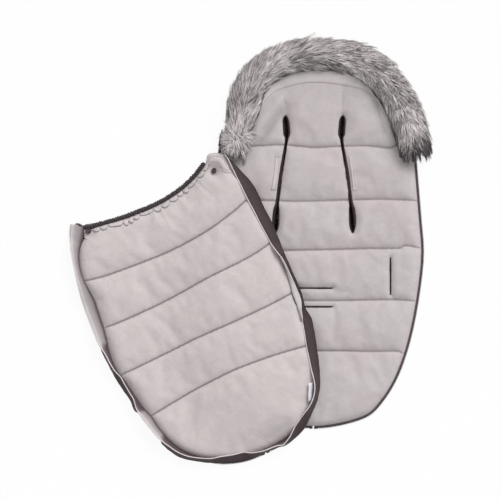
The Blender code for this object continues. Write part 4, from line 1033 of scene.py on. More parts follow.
def level(spot):
    return 0.0


def plastic(name, colour, roughness=0.45):
    """Moulded plastic with a fine uneven surface."""
    material, shader, nodes, links = shader_nodes(name, roughness=roughness)
    grain = object_noise(nodes, links, Scale=700.0)
    darker = (*(value * 0.72 for value in colour[:3]), 1.0)
    mottle = add_node(nodes, "Mix", {"A": colour, "B": darker}, data_type="RGBA")
    links.new(grain.outputs["Fac"], mottle.inputs["Factor"])
    links.new(mottle.outputs["Result"], shader.inputs["Base Color"])
    return material


zip_tape_cloth = cloth("zip_tape_cloth", srgb(86, 73, 77), srgb(62, 51, 55), threads=1600.0)
zip_teeth_plastic = plastic("zip_teeth_plastic", srgb(74, 62, 66))
mat_centre = Vector((0.0, 0.05))


def zip_half(owner, name, body, run, side, base, skip):
    """One half of a zip along a run: its woven tape and its comb of teeth."""
    tape = new_piece(f"{owner}_zip_band_{name}",
                     loft(strip_along(run, side_normals(run, side), TAPE_SECTION, base)), body)
    tape.data.materials.append(zip_tape_cloth)
    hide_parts(f"{owner}_zip_tape_{name}")
    bm = bmesh.new()
    add_teeth(bm, run, side, base, skip)
    teeth = new_piece(f"{owner}_zip_comb_{name}", bm, body, smooth=False)
    teeth.data.materials.append(zip_teeth_plastic)
    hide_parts(f"{owner}_zip_teeth_{name}")


for name, side, start in MAT_HALVES:
    run = curve_through(half_edge(mat_outline, mat_centre, side, start, TAPE_TOP_END), ZIP_STEP)
    low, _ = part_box(f"zip_slider_{name}")
    box_low, box_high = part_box(f"mat_zip_box_{name}")

    def covered(spot, low=low, box_low=box_low, box_high=box_high):
        beside_box = box_low.x - 0.001 < spot.x < box_high.x + 0.001 and spot.y < -0.3
        return spot.y > low.y or beside_box

    zip_half("mat", name, "mat", run, side, level, covered)
    for node in (f"mat_zip_box_{name}", f"mat_zip_stop_{name}"):
        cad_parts[node].material_slots[0].material = zip_teeth_plastic


# Zip sliders, pull tabs and snaps: stamped and plated small metal, nearly black on the zips and
# gunmetal on the snaps, with worn brighter edges and fine scratches.
def plated_metal(name, colour, worn, roughness):
    material, shader, nodes, links = shader_nodes(name, roughness=roughness, metallic=0.85)
    scratches = object_noise(nodes, links, Scale=260.0, Detail=6.0, Distortion=2.0)
    wear = add_node(nodes, "MapRange", {"From Min": 0.52, "From Max": 0.70})
    links.new(scratches.outputs["Fac"], wear.inputs["Value"])
    plate = add_node(nodes, "Mix", {"A": colour, "B": worn}, data_type="RGBA")
    links.new(wear.outputs["Result"], plate.inputs["Factor"])
    links.new(plate.outputs["Result"], shader.inputs["Base Color"])
    return material


black_zip_metal = plated_metal("black_zip_metal", srgb(44, 38, 41), srgb(96, 88, 90), 0.38)
snap_gunmetal = plated_metal("snap_gunmetal", srgb(74, 66, 70), srgb(128, 120, 122), 0.34)
for node in ("zip_slider_left", "zip_slider_right", "pull_tab_left", "pull_tab_right"):
    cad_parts[node].material_slots[0].material = black_zip_metal
for node in ("mat_snap_stud_left", "mat_snap_stud_right",
             "cover_snap_socket_left", "cover_snap_socket_right"):
    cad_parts[node].material_slots[0].material = snap_gunmetal


# Fur trim: a long-pile faux fur band sewn over the hood's edge. A knitted backing with a dense dark
# undercoat makes the roll, and longer silver guard hairs lie over it in tufts, many with dark tips.
FUR_STATIONS = (
    ((226.5, 148.0), (246.0, 153.5)), ((225.0, 131.5), (249.5, 140.0)), ((223.8, 116.0), (255.0, 126.0)),
    ((226.5, 102.0), (260.0, 111.0)), ((234.0, 84.5), (266.0, 97.5)), ((245.0, 67.5), (272.5, 88.5)),
    ((261.0, 52.8), (281.5, 81.5)), ((283.0, 43.0), (295.0, 76.0)), ((305.0, 38.8), (310.0, 73.0)),
    ((327.0, 37.8), (325.0, 72.0)), ((350.0, 40.0), (341.0, 74.0)), ((371.0, 46.5), (355.0, 81.0)),
    ((388.0, 58.5), (366.0, 89.5)), ((403.0, 76.5), (376.0, 100.0)), ((415.0, 93.5), (384.0, 113.0)),
    ((423.5, 112.0), (389.5, 126.5)), ((427.5, 127.0), (393.5, 136.0)), ((429.5, 139.5), (398.5, 144.5)),
    ((425.5, 150.0), (405.5, 152.5)))
FUR_ROLL_SHARE = 0.80
FUR_ROLL_HEIGHT = 0.0375
FUR_INNER_FOOT = 0.0150
FUR_OUTER_FOOT = 0.0055
FUR_FAN_SHARE = 0.045
FUR_SEED = 11
TUFTS = 1500
HAIRS_IN_TUFT = 24
HAIR_STEPS = 4
HAIR_ROOT_WIDTH = 0.00105
HAIR_TIP_WIDTH = 0.00018
HAIR_PIECES = ("fur_hair_left", "fur_hair_top", "fur_hair_right")

outer_stations = np.array([on_photo(*pair[0]).to_tuple() for pair in FUR_STATIONS])
inner_stations = np.array([on_photo(*pair[1]).to_tuple() for pair in FUR_STATIONS])


def along_band(stations, share):
    """Smooth places along the band's stations, for shares from 0 to 1."""
    at = np.clip(share, 0.0, 1.0) * (len(stations) - 1.0001)
    index = at.astype(int)
    step = (at - index)[:, None]
    run = np.vstack((2.0 * stations[0] - stations[1], stations, 2.0 * stations[-1] - stations[-2]))
    a, b, c, d = (run[index + offset] for offset in range(4))
    square, cube = step ** 2, step ** 3
    return 0.5 * (2.0 * b + (c - a) * step + (2.0 * a - 5.0 * b + 4.0 * c - d) * square
                  + (3.0 * b - a - 3.0 * c + d) * cube)


def band_frame(share):
    """Middle, half width, direction along and direction outwards of the band."""
    outer = along_band(outer_stations, share)
    inner = along_band(inner_stations, share)
    middle = (outer + inner) / 2.0
    across = outer - inner
    half = np.linalg.norm(across, axis=1, keepdims=True) / 2.0
    before = (along_band(outer_stations, share - 0.01) + along_band(inner_stations, share - 0.01)) / 2.0
    after = (along_band(outer_stations, share + 0.01) + along_band(inner_stations, share + 0.01)) / 2.0
    along = after - before
    along /= np.linalg.norm(along, axis=1, keepdims=True)
    return middle, half, along, across / (2.0 * half)


def roll_points(share, across):
    """Places on the undercoat's rounded top, across from -1 inside to 1 outside."""
    middle, half, along, outwards = band_frame(share)
    plan = middle + outwards * half * (across * FUR_ROLL_SHARE)[:, None]
    end = np.clip(np.minimum(share, 1.0 - share) / 0.045, 0.0, 1.0)
    rise = FUR_ROLL_HEIGHT * (1.0 - np.abs(across) ** 2.4) ** 0.62 * np.sqrt(1.0 - (1.0 - end) ** 2)
    lean = (across + 1.0) / 2.0
    foot = FUR_INNER_FOOT * (1.0 - lean) + FUR_OUTER_FOOT * lean
    return np.column_stack((plan, foot + rise))


across_roll = np.array((-1.0, -0.97, -0.88, -0.7, -0.45, -0.15, 0.15, 0.45, 0.7, 0.88, 0.97, 1.0))
noise.seed_set(FUR_SEED)
rings = []
for share in np.linspace(0.0, 1.0, 110):
    top = roll_points(np.full(len(across_roll), share), across_roll)
    ring = [Vector(place) for place in top]
    for place in ring[1:-1]:
        place += 0.0022 * noise.noise_vector(place * 55.0)
    inside, outside = ring[0], ring[-1]
    ring.append(outside.lerp(inside, 0.25) - Vector((0.0, 0.0, 0.0008)))
    ring.append(outside.lerp(inside, 0.75) - Vector((0.0, 0.0, 0.0008)))
    rings.append(ring)
bm = loft(rings)
undercoat = new_piece("fur_undercoat", bm, "mat")
undercoat_material, shader, nodes, links = shader_nodes("fur_undercoat_pile", roughness=0.95, sheen=0.1)
clumps = object_noise(nodes, links, Scale=240.0, Detail=8.0)
ramp = add_node(nodes, "ValToRGB")
ramp.color_ramp.elements[0].position = 0.35
ramp.color_ramp.elements[0].color = srgb(74, 66, 70)
ramp.color_ramp.elements[1].position = 0.68
ramp.color_ramp.elements[1].color = srgb(150, 142, 144)
links.new(clumps.outputs["Fac"], ramp.inputs["Fac"])
links.new(ramp.outputs["Color"], shader.inputs["Base Color"])
bump = add_node(nodes, "Bump", {"Distance": 0.002})
links.new(clumps.outputs["Fac"], bump.inputs["Height"])
links.new(bump.outputs["Normal"], shader.inputs["Normal"])
undercoat.data.materials.append(undercoat_material)
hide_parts("fur_trim", "fur_backing")


def unit(vectors):
    return vectors / np.maximum(np.linalg.norm(vectors, axis=-1, keepdims=True), 1e-9)


def nap(share, across, along, outwards, turn):
    """The way the pile lies: along the band, opening from the fan near its left end."""
    fan = np.clip((share - FUR_FAN_SHARE + 0.07 * turn) / 0.030, -1.0, 1.0)
    spread = 0.42 * across * (0.55 + 0.45 * np.abs(fan)) + turn
    return unit(fan[:, None] * along + spread[:, None] * outwards)


seeded = np.random.default_rng(FUR_SEED)
tuft_share = seeded.uniform(0.004, 0.996, TUFTS)
tuft_across = np.sin(seeded.uniform(-1.0, 1.0, TUFTS) * pi / 2.0) * 0.97
tuft_length = seeded.uniform(0.024, 0.042, TUFTS)
tuft_turn = seeded.normal(0.0, 0.20, TUFTS)
tuft_tone = seeded.uniform(0.0, 1.0, TUFTS)
tuft_lift = seeded.uniform(0.12, 0.46, TUFTS)
order = np.argsort(tuft_share)
tuft_share, tuft_across, tuft_length = tuft_share[order], tuft_across[order], tuft_length[order]


def hair_ends(share, across, length, turn, lift):
    """Root, middle and tip of hairs, with the surface's own upward direction."""
    _, _, along, outwards = band_frame(share)
    root = roll_points(share, across)
    lean = nap(share, across, along, outwards, turn)
    steep = np.abs(across) ** 3
    normal = unit(np.column_stack((outwards * (across * (0.25 + 0.9 * steep))[:, None], 1.0 - 0.75 * steep)))
    flat = np.column_stack((lean, np.zeros(len(lean))))
    flat = unit(flat - normal * np.sum(flat * normal, axis=1, keepdims=True))
    middle = root + length[:, None] * (0.46 * flat + (0.10 + 0.42 * lift)[:, None] * normal)
    tip = root + length[:, None] * (0.95 * flat + (0.55 * lift)[:, None] * normal)
    tip[:, 2] -= length * 0.12 * steep
    return root, middle, tip, normal


tuft_root, tuft_middle, tuft_tip, _ = hair_ends(tuft_share, tuft_across, tuft_length, tuft_turn, tuft_lift)
member = np.repeat(np.arange(TUFTS), HAIRS_IN_TUFT)
hairs = len(member)
share = np.clip(tuft_share[member] + seeded.normal(0.0, 0.0055, hairs), 0.002, 0.998)
across = np.clip(tuft_across[member] + seeded.normal(0.0, 0.085, hairs), -0.995, 0.995)
length = tuft_length[member] * seeded.uniform(0.70, 1.12, hairs)
length *= 1.0 - 0.45 * np.clip((share - 0.93) / 0.07, 0.0, 1.0)
turn = tuft_turn[member] + seeded.normal(0.0, 0.14, hairs)
lift = np.clip(tuft_lift[member] + seeded.normal(0.0, 0.09, hairs), 0.05, 0.7)
root, middle, tip, normal = hair_ends(share, across, length, turn, lift)
gather = seeded.uniform(0.35, 0.85, hairs)[:, None]
tip = tip * (1.0 - gather) + tuft_tip[member] * gather
middle = middle * (1.0 - 0.45 * gather) + tuft_middle[member] * 0.45 * gather
steps = np.linspace(0.0, 1.0, HAIR_STEPS + 1)
curve = np.stack([(1 - t) ** 2 * root + 2 * t * (1 - t) * middle + t ** 2 * tip for t in steps], axis=1)
curve += seeded.normal(0.0, 0.0006, curve.shape) * steps[None, :, None]
low = np.where(curve[:, :, 2] < 0.024)
for hair, step in zip(*low):
    spot = curve[hair, step]
    hit = mat_tree.ray_cast(Vector((spot[0], spot[1], 0.5)), Vector((0.0, 0.0, -1.0)))[0]
    floor = (hit.z if hit else 0.0) + 0.0012 + 0.0008 * step
    spot[2] = max(spot[2], floor)
direction = unit(curve[:, 1:] - curve[:, :-1])
direction = np.concatenate((direction, direction[:, -1:]), axis=1)
facing_way = unit(normal[:, None, :] + seeded.normal(0.0, 0.45, (hairs, 1, 3)))
side = unit(np.cross(direction, facing_way))
width = (HAIR_ROOT_WIDTH * (1.0 - steps ** 1.6) + HAIR_TIP_WIDTH * steps ** 1.6)[None, :, None] / 2.0
width = width * seeded.uniform(0.65, 1.25, (hairs, 1, 1))
places = np.stack((curve - side * width, curve + side * width), axis=2)

silver = np.array(srgb(255, 248, 248)[:3])
ash = np.array(srgb(214, 205, 207)[:3])
slate = np.array(srgb(92, 83, 88)[:3])
soot = np.array(srgb(34, 28, 33)[:3])
kind = seeded.uniform(0.0, 1.0, hairs)
tuft_patch = np.array([noise.noise(Vector(place) * 26.0) for place in tuft_root])
# Share of dark hairs: at random by tuft and patch, higher towards the band's right end, and near the inner
# edge a painted shadow where the fur stands over the lining.
dark_hair_share = 0.12 + 0.20 * tuft_tone[member] + 0.70 * np.clip((-0.80 - across) / 0.14, 0.0, 1.0)
right_end = np.clip((share - 0.87) / 0.07, 0.0, 1.0)
dark_hair_share = dark_hair_share + 0.60 * right_end - 0.20 * tuft_patch[member]
body_tone = np.where((kind < dark_hair_share)[:, None], slate, np.where((kind < dark_hair_share + 0.30)[:, None], ash, silver))
body_tone = body_tone * seeded.uniform(0.86, 1.08, (hairs, 1)) * (1.0 - 0.14 * right_end)[:, None]
body_tone = body_tone * (0.83 + 0.22 * tuft_tone[member] + 0.26 * tuft_patch[member])[:, None]
dark_tip = (seeded.uniform(0.0, 1.0, hairs) < 0.34 + 0.26 * (across > 0.55) + 0.30 * (share < 0.03))[:, None]
tip_tone = np.where(dark_tip, soot, body_tone * 0.92)
# Each hair is painted darker towards its root, as shade deep in the pile; some also have dark tips.
tone = np.empty((hairs, HAIR_STEPS + 1, 3))
for index, mix in enumerate(((0.34, 0.0), (0.84, 0.0), (1.0, 0.0), (1.0, 0.26), (1.0, 0.95))):
    tone[:, index] = (soot * (1.0 - mix[0]) + body_tone * mix[0]) * (1.0 - mix[1]) + tip_tone * mix[1]

hair_material, shader, nodes, links = shader_nodes("faux_fur_hair", roughness=0.62, sheen=0.0)
strand = add_node(nodes, "Attribute", attribute_name="strand_tone")
streaks = object_noise(nodes, links, Scale=45.0, Detail=3.0)
soften = add_node(nodes, "MapRange", {"From Min": 0.3, "From Max": 0.7, "To Min": 0.86, "To Max": 1.06})
links.new(streaks.outputs["Fac"], soften.inputs["Value"])
tinted = add_node(nodes, "Mix", {"Factor": 1.0}, data_type="RGBA", blend_type="MULTIPLY")
links.new(strand.outputs["Color"], tinted.inputs["A"])
links.new(soften.outputs["Result"], tinted.inputs["B"])
links.new(tinted.outputs["Result"], shader.inputs["Base Color"])

cuts = [0, hairs // 3, 2 * hairs // 3, hairs]
for name, first, last in zip(HAIR_PIECES, cuts, cuts[1:]):
    count = last - first
    bm = bmesh.new()
    bmesh.ops.create_grid(bm, x_segments=2 * count - 1, y_segments=HAIR_STEPS, size=1.0)
    columns = 2 * count
    bm.faces.ensure_lookup_table()
    between = [face for face in bm.faces if min(vert.index for vert in face.verts) % columns % 2 == 1]
    bmesh.ops.delete(bm, geom=between, context="FACES_ONLY")
    loose = [edge for edge in bm.edges if not edge.link_faces]
    bmesh.ops.delete(bm, geom=loose, context="EDGES")
    piece = new_piece(name, bm, "mat", smooth=True)
    row_major = places[first:last].transpose(1, 0, 2, 3).reshape(-1)
    piece.data.vertices.foreach_set("co", row_major)
    tints = np.repeat(tone[first:last].transpose(1, 0, 2)[:, :, None, :], 2, axis=2).reshape(-1, 3)
    attribute = piece.data.color_attributes.new("strand_tone", "FLOAT_COLOR", "POINT")
    attribute.data.foreach_set("color", np.column_stack((tints, np.ones(len(tints)))).reshape(-1))
    piece.data.update()
    piece.data.materials.append(hair_material)


# Front cover: the outer shell. The cover lies turned over, so its plum cloth is underneath. It rests
# on the floor at the left and drapes over the mat's edge at the right.
COVER_LIFT = 0.0275
COVER_LIFT_LEAD = 0.060
COVER_LIFT_RAMP = 0.086
COVER_SNAPS = ("cover_snap_socket_right", "cover_snap_socket_left")
COVER_SNAP_RADIUS = 0.0074
COVER_SNAP_FADE = 0.016
COVER_DRAPE_LEAD = 0.150
COVER_DRAPE_RAMP = 0.190
COVER_SHELL_THICKNESS = 0.0010
COVER_SHELL_GRID = 0.014


def cover_floor(spots, lead=COVER_LIFT_LEAD, ramp=COVER_LIFT_RAMP):
    """Height of the cover's underside at plan points: on the floor, or lifted over the mat."""
    mat = plan_array(mat_outline)
    depth = distance_to_line(spots, mat, True) * np.where(inside_loop(spots, mat), 1.0, -1.0)
    share = np.clip((depth + lead) / ramp, 0.0, 1.0)
    return COVER_LIFT * share * share * (3.0 - 2.0 * share)


cover_loop = [point.to_2d() for point in edge_loops("cover_shell")[0]]
bm, *_ = cloth_plan("cover_shell", cover_loop, [], [], COVER_SHELL_GRID)
for vert, ground in zip(bm.verts, cover_floor(plan_of(bm))):
    vert.co.z = ground + COVER_SHELL_THICKNESS
thicken(bm, -COVER_SHELL_THICKNESS)
cover_back = new_piece("cover_outer_shell", bm, "front_cover")
cover_back.data.materials.append(plum_cloth)
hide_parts("cover_shell")


# Front cover: the quilted lining. The same fleece over wadding as the mat, stitched in bowed channels.
# Soft folds run down from its hollow top edge, and it bridges the mat's edge gently.
COVER_GRID = 0.0058
COVER_EDGE_HEIGHT = 0.0040
COVER_SEAM_HEIGHT = 0.0088
COVER_CROWN = 0.0165
COVER_EDGE_ROLL = 0.030
COVER_CHANNEL_ROLL = 0.046
COVER_LINING_FOOT = 0.0014
COVER_PUFF_CAP = 0.0028
COVER_RIPPLE = 0.0006
# Painted shade in the cover's stitched grooves: its darkness and its width.
COVER_LINE_SHADE = 0.90
COVER_LINE_WIDTH = 0.0017
COVER_DRAPE_FADE = 0.060
SNAP_RIM = 0.0068
SOFT_FOLDS = 8
COVER_SIDE_EDGE = (
    (92.0, 228.8), (89.3, 232.9), (85.0, 238.2), (81.4, 244.5), (79.4, 252.0), (78.9, 262.0),
    (80.6, 272.0), (84.0, 280.5), (89.0, 290.0), (94.8, 300.5), (97.9, 310.0), (101.4, 320.5),
    (104.5, 330.0), (107.8, 345.0), (112.4, 361.0), (117.4, 371.5), (121.8, 377.0), (128.2, 386.0),
    (136.7, 398.5), (145.7, 410.5), (152.2, 417.5), (158.2, 427.5), (165.7, 436.0), (174.7, 444.3),
    (186.2, 451.6), (199.0, 456.3), (211.0, 458.8), (221.7, 460.0), (231.7, 459.8), (241.0, 458.4),
    (249.3, 456.2), (257.0, 453.1), (264.2, 449.6), (271.6, 446.0), (278.7, 441.9), (286.0, 437.3),
    (293.0, 431.4), (299.8, 423.8), (305.6, 414.8), (310.4, 404.1), (314.1, 391.6), (315.3, 377.2),
    (313.2, 359.3), (308.9, 339.4), (304.6, 321.9), (301.9, 310.0), (299.2, 300.4), (294.8, 288.9),
    (287.6, 272.8), (279.0, 254.7), (271.2, 237.1), (263.8, 221.2), (257.6, 205.9), (251.5, 193.4),
    (245.9, 184.7), (240.9, 178.5), (235.9, 172.8), (231.3, 167.4), (228.0, 160.8), (224.2, 155.4))
COVER_TOP_EDGE = (
    (224.2, 155.4), (219.5, 153.5), (213.5, 153.1), (208.4, 154.3), (206.7, 158.0), (205.8, 162.6),
    (204.2, 166.4), (197.9, 174.6), (190.8, 182.0), (183.2, 188.8), (169.0, 198.8), (153.8, 207.0),
    (138.0, 213.9), (121.3, 219.8), (104.2, 224.6), (92.0, 228.8))
COVER_SEAMS = (
    ((82.0, 281.2), (92.0, 279.4), (108.9, 274.7), (134.0, 265.6), (159.4, 255.7), (178.0, 247.2),
     (197.3, 236.8), (214.5, 226.0), (231.0, 213.7), (246.0, 200.8)),
    ((105.4, 327.6), (121.0, 321.6), (155.2, 306.2), (181.0, 292.8), (207.8, 277.8), (239.4, 262.1),
     (256.0, 252.8), (270.5, 242.8)),
    ((120.8, 375.0), (140.0, 366.0), (168.0, 352.4), (197.3, 337.8), (239.4, 318.9), (268.0, 305.4),
     (292.5, 292.4)),
    ((151.4, 415.6), (174.0, 401.8), (197.3, 388.3), (218.0, 377.4), (239.4, 367.3), (272.0, 355.4),
     (305.0, 345.6)))
COVER_CREASES = (
    (((88.0, 283.0), (94.0, 296.0), (98.5, 305.0)), 0.0030, 0.0045),
    (((226.0, 172.0), (219.0, 186.0), (208.0, 197.0)), 0.0022, 0.0100),
    (((209.0, 196.0), (203.0, 206.0), (196.0, 214.0)), -0.0022, 0.0110),
    (((150.0, 222.0), (146.0, 233.0), (143.0, 240.0)), 0.0016, 0.0080),
    (((268.0, 246.0), (280.0, 268.0), (288.0, 286.0)), 0.0026, 0.0120),
    (((308.0, 366.0), (310.0, 380.0), (305.0, 400.0)), 0.0034, 0.0110),
    (((187.0, 438.0), (187.0, 448.0)), 0.0016, 0.0040),
    (((264.0, 440.0), (276.0, 434.0), (288.0, 424.0)), 0.0022, 0.0100))

cover_side = curve_through(traced(COVER_SIDE_EDGE), COVER_GRID)
cover_top = curve_through(traced(COVER_TOP_EDGE), COVER_GRID)
cover_edge = cover_side[:-1] + cover_top[:-1]
cover_seams = [traced(seam) for seam in COVER_SEAMS]
bm, from_edge, _, from_seam = cloth_plan("cover", cover_edge, [], cover_seams, COVER_GRID)


def cover_rise(spots, from_edge, from_seam):
    """Thickness of the puffed cover at plan points."""
    crown = COVER_SEAM_HEIGHT + (COVER_CROWN - COVER_SEAM_HEIGHT) * dome(from_seam, COVER_CHANNEL_ROLL)
    for line, depth, width in COVER_CREASES:
        distance = from_traced(spots, line)
        crown = crown - depth * np.exp(-(distance / width) ** 2)
    return COVER_EDGE_HEIGHT + (crown - COVER_EDGE_HEIGHT) * dome(from_edge, COVER_EDGE_ROLL)


places = plan_of(bm)
# The seam attribute holds painted shade: a dark line in each stitched groove of the cover.
painted_shade_layer = bm.verts.layers.float.new("seam")


def snap_seat(socket):
    """A socket's middle, and how far its foot lies over the cover's floor."""
    low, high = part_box(socket)
    middle = Vector(((low.x + high.x) / 2.0, (low.y + high.y) / 2.0))
    turns = np.linspace(0.0, 2.0 * pi, 17)[:-1]
    rim = np.column_stack((middle.x + SNAP_RIM * np.cos(turns), middle.y + SNAP_RIM * np.sin(turns)))
    return middle, low.z - float(cover_floor(rim).min())


near_edge = np.clip(from_edge / COVER_DRAPE_FADE, 0.0, 1.0)
floors = cover_floor(places)
drapes = cover_floor(places, COVER_DRAPE_LEAD, COVER_DRAPE_RAMP)
grounds = np.maximum(floors, drapes * near_edge + floors * (1.0 - near_edge))
rises = cover_rise(places, from_edge, from_seam)
for vert, ground, rise, distance, edge_distance in zip(bm.verts, grounds, rises, from_seam, from_edge):
    ripple = noise.noise(vert.co * 30.0 + Vector((3.0, 1.0, 0.0))) + 0.6 * noise.noise(vert.co * 68.0)
    vert.co.z = ground + rise + COVER_RIPPLE * ripple * min(edge_distance / RIPPLE_FADE, 1.0)
    vert[painted_shade_layer] = COVER_LINE_SHADE * exp(-(distance / COVER_LINE_WIDTH) ** 2)
held = ((from_edge < HELD_AT_EDGE) | (from_seam < HELD_AT_SEAM)).astype(float)
for node in COVER_SNAPS:
    middle, seat = snap_seat(node)
    around = np.hypot(places[:, 0] - middle.x, places[:, 1] - middle.y)
    dents = 1.0 - np.clip((around - COVER_SNAP_RADIUS) / COVER_SNAP_FADE, 0.0, 1.0)
    for vert, dent, ground in zip(bm.verts, dents, floors):
        vert.co.z += (ground + seat - 0.0030 - vert.co.z) * dent
    held[around < COVER_SNAP_RADIUS + HELD_ROUND_SNAP] = 1.0
inflate(bm, held, QUILT_PRESSURE, QUILT_SLACK, COVER_PUFF_CAP)
bmesh.ops.subdivide_edges(bm, edges=bm.edges, cuts=1, use_grid_fill=True, smooth=0.6)
top_line = plan_array(cover_top)
top_lengths = np.concatenate(([0.0], np.cumsum(np.hypot(*np.diff(top_line, axis=0).T))))
gathered = (top_lengths[-1] * 0.10, top_lengths[-1] * 0.985)
places = plan_of(bm)
from_top = distance_to_line(places, top_line)
for vert, place, distance in zip(bm.verts, places, from_top):
    if distance > 0.060:
        continue
    along = top_lengths[np.argmin(np.hypot(*(top_line - place).T))]
    share = (along - gathered[0]) / (gathered[1] - gathered[0])
    if not 0.0 < share < 1.0:
        continue
    fade = min(share / 0.06, (1.0 - share) / 0.03, 1.0)
    soft = sin(2.0 * pi * (SOFT_FOLDS * share + 1.3 * noise.noise(Vector((share * 9.0, 0.3, 0.0))) + 0.2))
    vert.co.z += fade * 0.0016 * soft * exp(-distance / 0.028) * min(distance / 0.004, 1.0)
lined(bm, lambda spots: cover_floor(spots) + COVER_LINING_FOOT)
cover_quilt = new_piece("cover_quilted_lining", bm, "front_cover")
# The cover's fleece is the mat's fleece; its colour is painted lighter than the mat's, standing in for the
# brighter light on the cover.
cover_fleece_painted_light = fleece("cover_fleece_painted_light", srgb(211, 202, 203), srgb(208, 200, 201), srgb(112, 98, 102))
cover_quilt.data.materials.append(cover_fleece_painted_light)
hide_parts("cover_lining", "cover_wadding")
cover_tree = surface_tree(cover_quilt)


# Baffle wall: a soft side wall sewn into the cover's edge, plum cloth outside and fleece inside, with
# light piping on its free edge. It lies open at the left and leans inwards at the foot and the right.
WALL_SPANS = (0.0108, 0.0104, 0.0080)
WALL_STEP = 0.0036
WALL_END_TAPER = 0.070
WALL_FOOT_RISE = 0.0022
WALL_OVER_LINING = 0.0030
WALL_CLOTH = 0.0010
WALL_FLEECE = 0.0020
WALL_GAP = 0.0002
WALL_ROWS = 10
# Painted shade, row by row from the foot to the rim: on the fleece it is darkest where the wall meets the
# quilt, and on the cloth near black along the hidden foot under the bulge.
WALL_SHADES = (1.0, 1.0, 0.76, 0.60, 0.52, 0.45, 0.34, 0.17, 0.02, 0.0)
WALL_FOOT_SHADES = (1.0, 1.0, 1.0, 0.95, 0.40, 0.10, 0.0, 0.0, 0.0, 0.0)
PIPING_RADIUS = 0.00125
WALL_FOOT_START = ((85.0, 225.4), (84.4, 232.0), (83.2, 238.4))
WALL_FREE_EDGE = (
    (71.0, 225.8), (70.4, 234.0), (71.0, 246.0), (73.2, 260.0), (76.4, 276.0), (80.2, 292.0),
    (84.9, 308.0), (91.0, 324.0), (96.8, 338.5), (101.3, 348.0), (105.0, 353.4), (110.0, 363.0),
    (115.1, 371.2), (120.2, 376.6), (123.6, 382.6), (129.4, 392.5), (133.6, 399.2), (136.2, 408.0),
    (141.0, 415.5), (149.0, 426.0), (157.0, 435.6), (163.0, 441.6), (169.8, 446.6), (177.4, 451.8),
    (187.0, 455.8), (197.0, 457.6), (207.0, 458.4), (214.0, 458.2), (218.0, 457.0), (233.0, 454.8),
    (244.0, 452.3), (251.0, 452.8), (263.0, 450.7), (271.0, 447.6), (278.0, 445.1), (282.8, 445.2),
    (286.3, 441.3), (290.5, 435.5), (294.0, 428.5), (297.0, 423.5), (303.0, 414.5), (309.3, 406.0),
    (313.2, 397.5), (315.0, 388.0), (314.3, 380.0), (312.0, 370.5), (310.0, 361.0), (307.2, 348.0),
    (305.0, 334.0), (302.8, 321.0), (300.6, 310.0), (299.6, 299.0), (295.6, 289.0), (291.6, 279.0),
    (287.4, 269.0), (282.2, 258.5), (277.6, 252.0), (272.2, 244.5), (266.7, 234.5), (260.7, 223.5),
    (254.9, 212.0), (247.8, 198.5), (241.2, 185.0), (234.0, 170.5), (229.5, 161.2), (226.8, 156.8))
WALL_BULGE_LEFT = (
    (100.4, 347.5), (106.4, 359.2), (112.4, 371.4), (117.6, 380.8), (122.8, 389.0), (129.9, 399.0),
    (134.4, 408.6), (137.6, 413.0))
WALL_BULGE_FOOT = (
    (160.0, 441.0), (169.2, 449.4), (177.2, 455.3), (186.5, 458.7), (197.0, 460.9), (208.0, 462.2),
    (218.0, 462.6), (230.0, 462.0), (241.0, 460.5), (250.0, 458.3), (257.0, 455.6), (264.0, 452.6),
    (272.0, 448.9), (279.0, 446.4), (285.0, 445.0), (291.5, 440.4), (297.2, 435.2), (303.6, 428.0),
    (308.6, 418.2), (313.4, 408.0), (316.6, 400.0), (318.6, 391.0), (319.5, 382.0), (319.0, 371.0),
    (318.2, 361.0), (317.2, 353.0), (316.0, 345.0), (314.6, 336.0), (313.2, 328.0), (311.6, 320.0),
    (309.0, 314.0), (305.4, 309.0), (303.6, 303.0), (302.0, 295.0), (298.8, 286.5), (294.8, 278.0),
    (290.2, 267.5), (283.4, 252.0), (277.2, 236.0), (272.7, 225.0), (268.2, 216.0), (263.2, 207.0),
    (258.7, 196.0), (254.0, 187.3), (247.2, 178.3), (240.2, 170.8), (233.2, 163.3), (227.0, 157.0))
WALL_FOLD = ((280.0, 255.5), (284.0, 263.0), (287.6, 272.0), (289.8, 283.0), (291.2, 291.0), (293.6, 299.0),
             (298.3, 309.0), (302.2, 319.0))


def crossings(stations, normals, line, reach):
    """How far out along each station's normal a line crosses it, or nan."""
    line = plan_array(curve_through(traced(line), 0.003))
    result = []
    for spot, normal in zip(stations, normals):
        best = float("nan")
        step = line - np.array((spot.x, spot.y))
        beside = step[:, 0] * -normal.y + step[:, 1] * normal.x
        out = step[:, 0] * normal.x + step[:, 1] * normal.y
        for index in np.flatnonzero(beside[:-1] * beside[1:] <= 0.0):
            share = beside[index] / (beside[index] - beside[index + 1] + 1e-12)
            distance = out[index] + share * (out[index + 1] - out[index])
            if abs(distance) < reach and not abs(distance) > abs(best):
                best = distance
        result.append(best)
    return np.array(result)


def evened(values, rounds=2):
    for _ in range(rounds):
        values = np.convolve(np.pad(values, 1, mode="edge"), (0.25, 0.5, 0.25), mode="valid")
    return values


def rise_of(span, across, least):
    """Height gained by a span of cloth that goes a distance across."""
    return sqrt(max(span ** 2 - across ** 2, (least * span) ** 2))


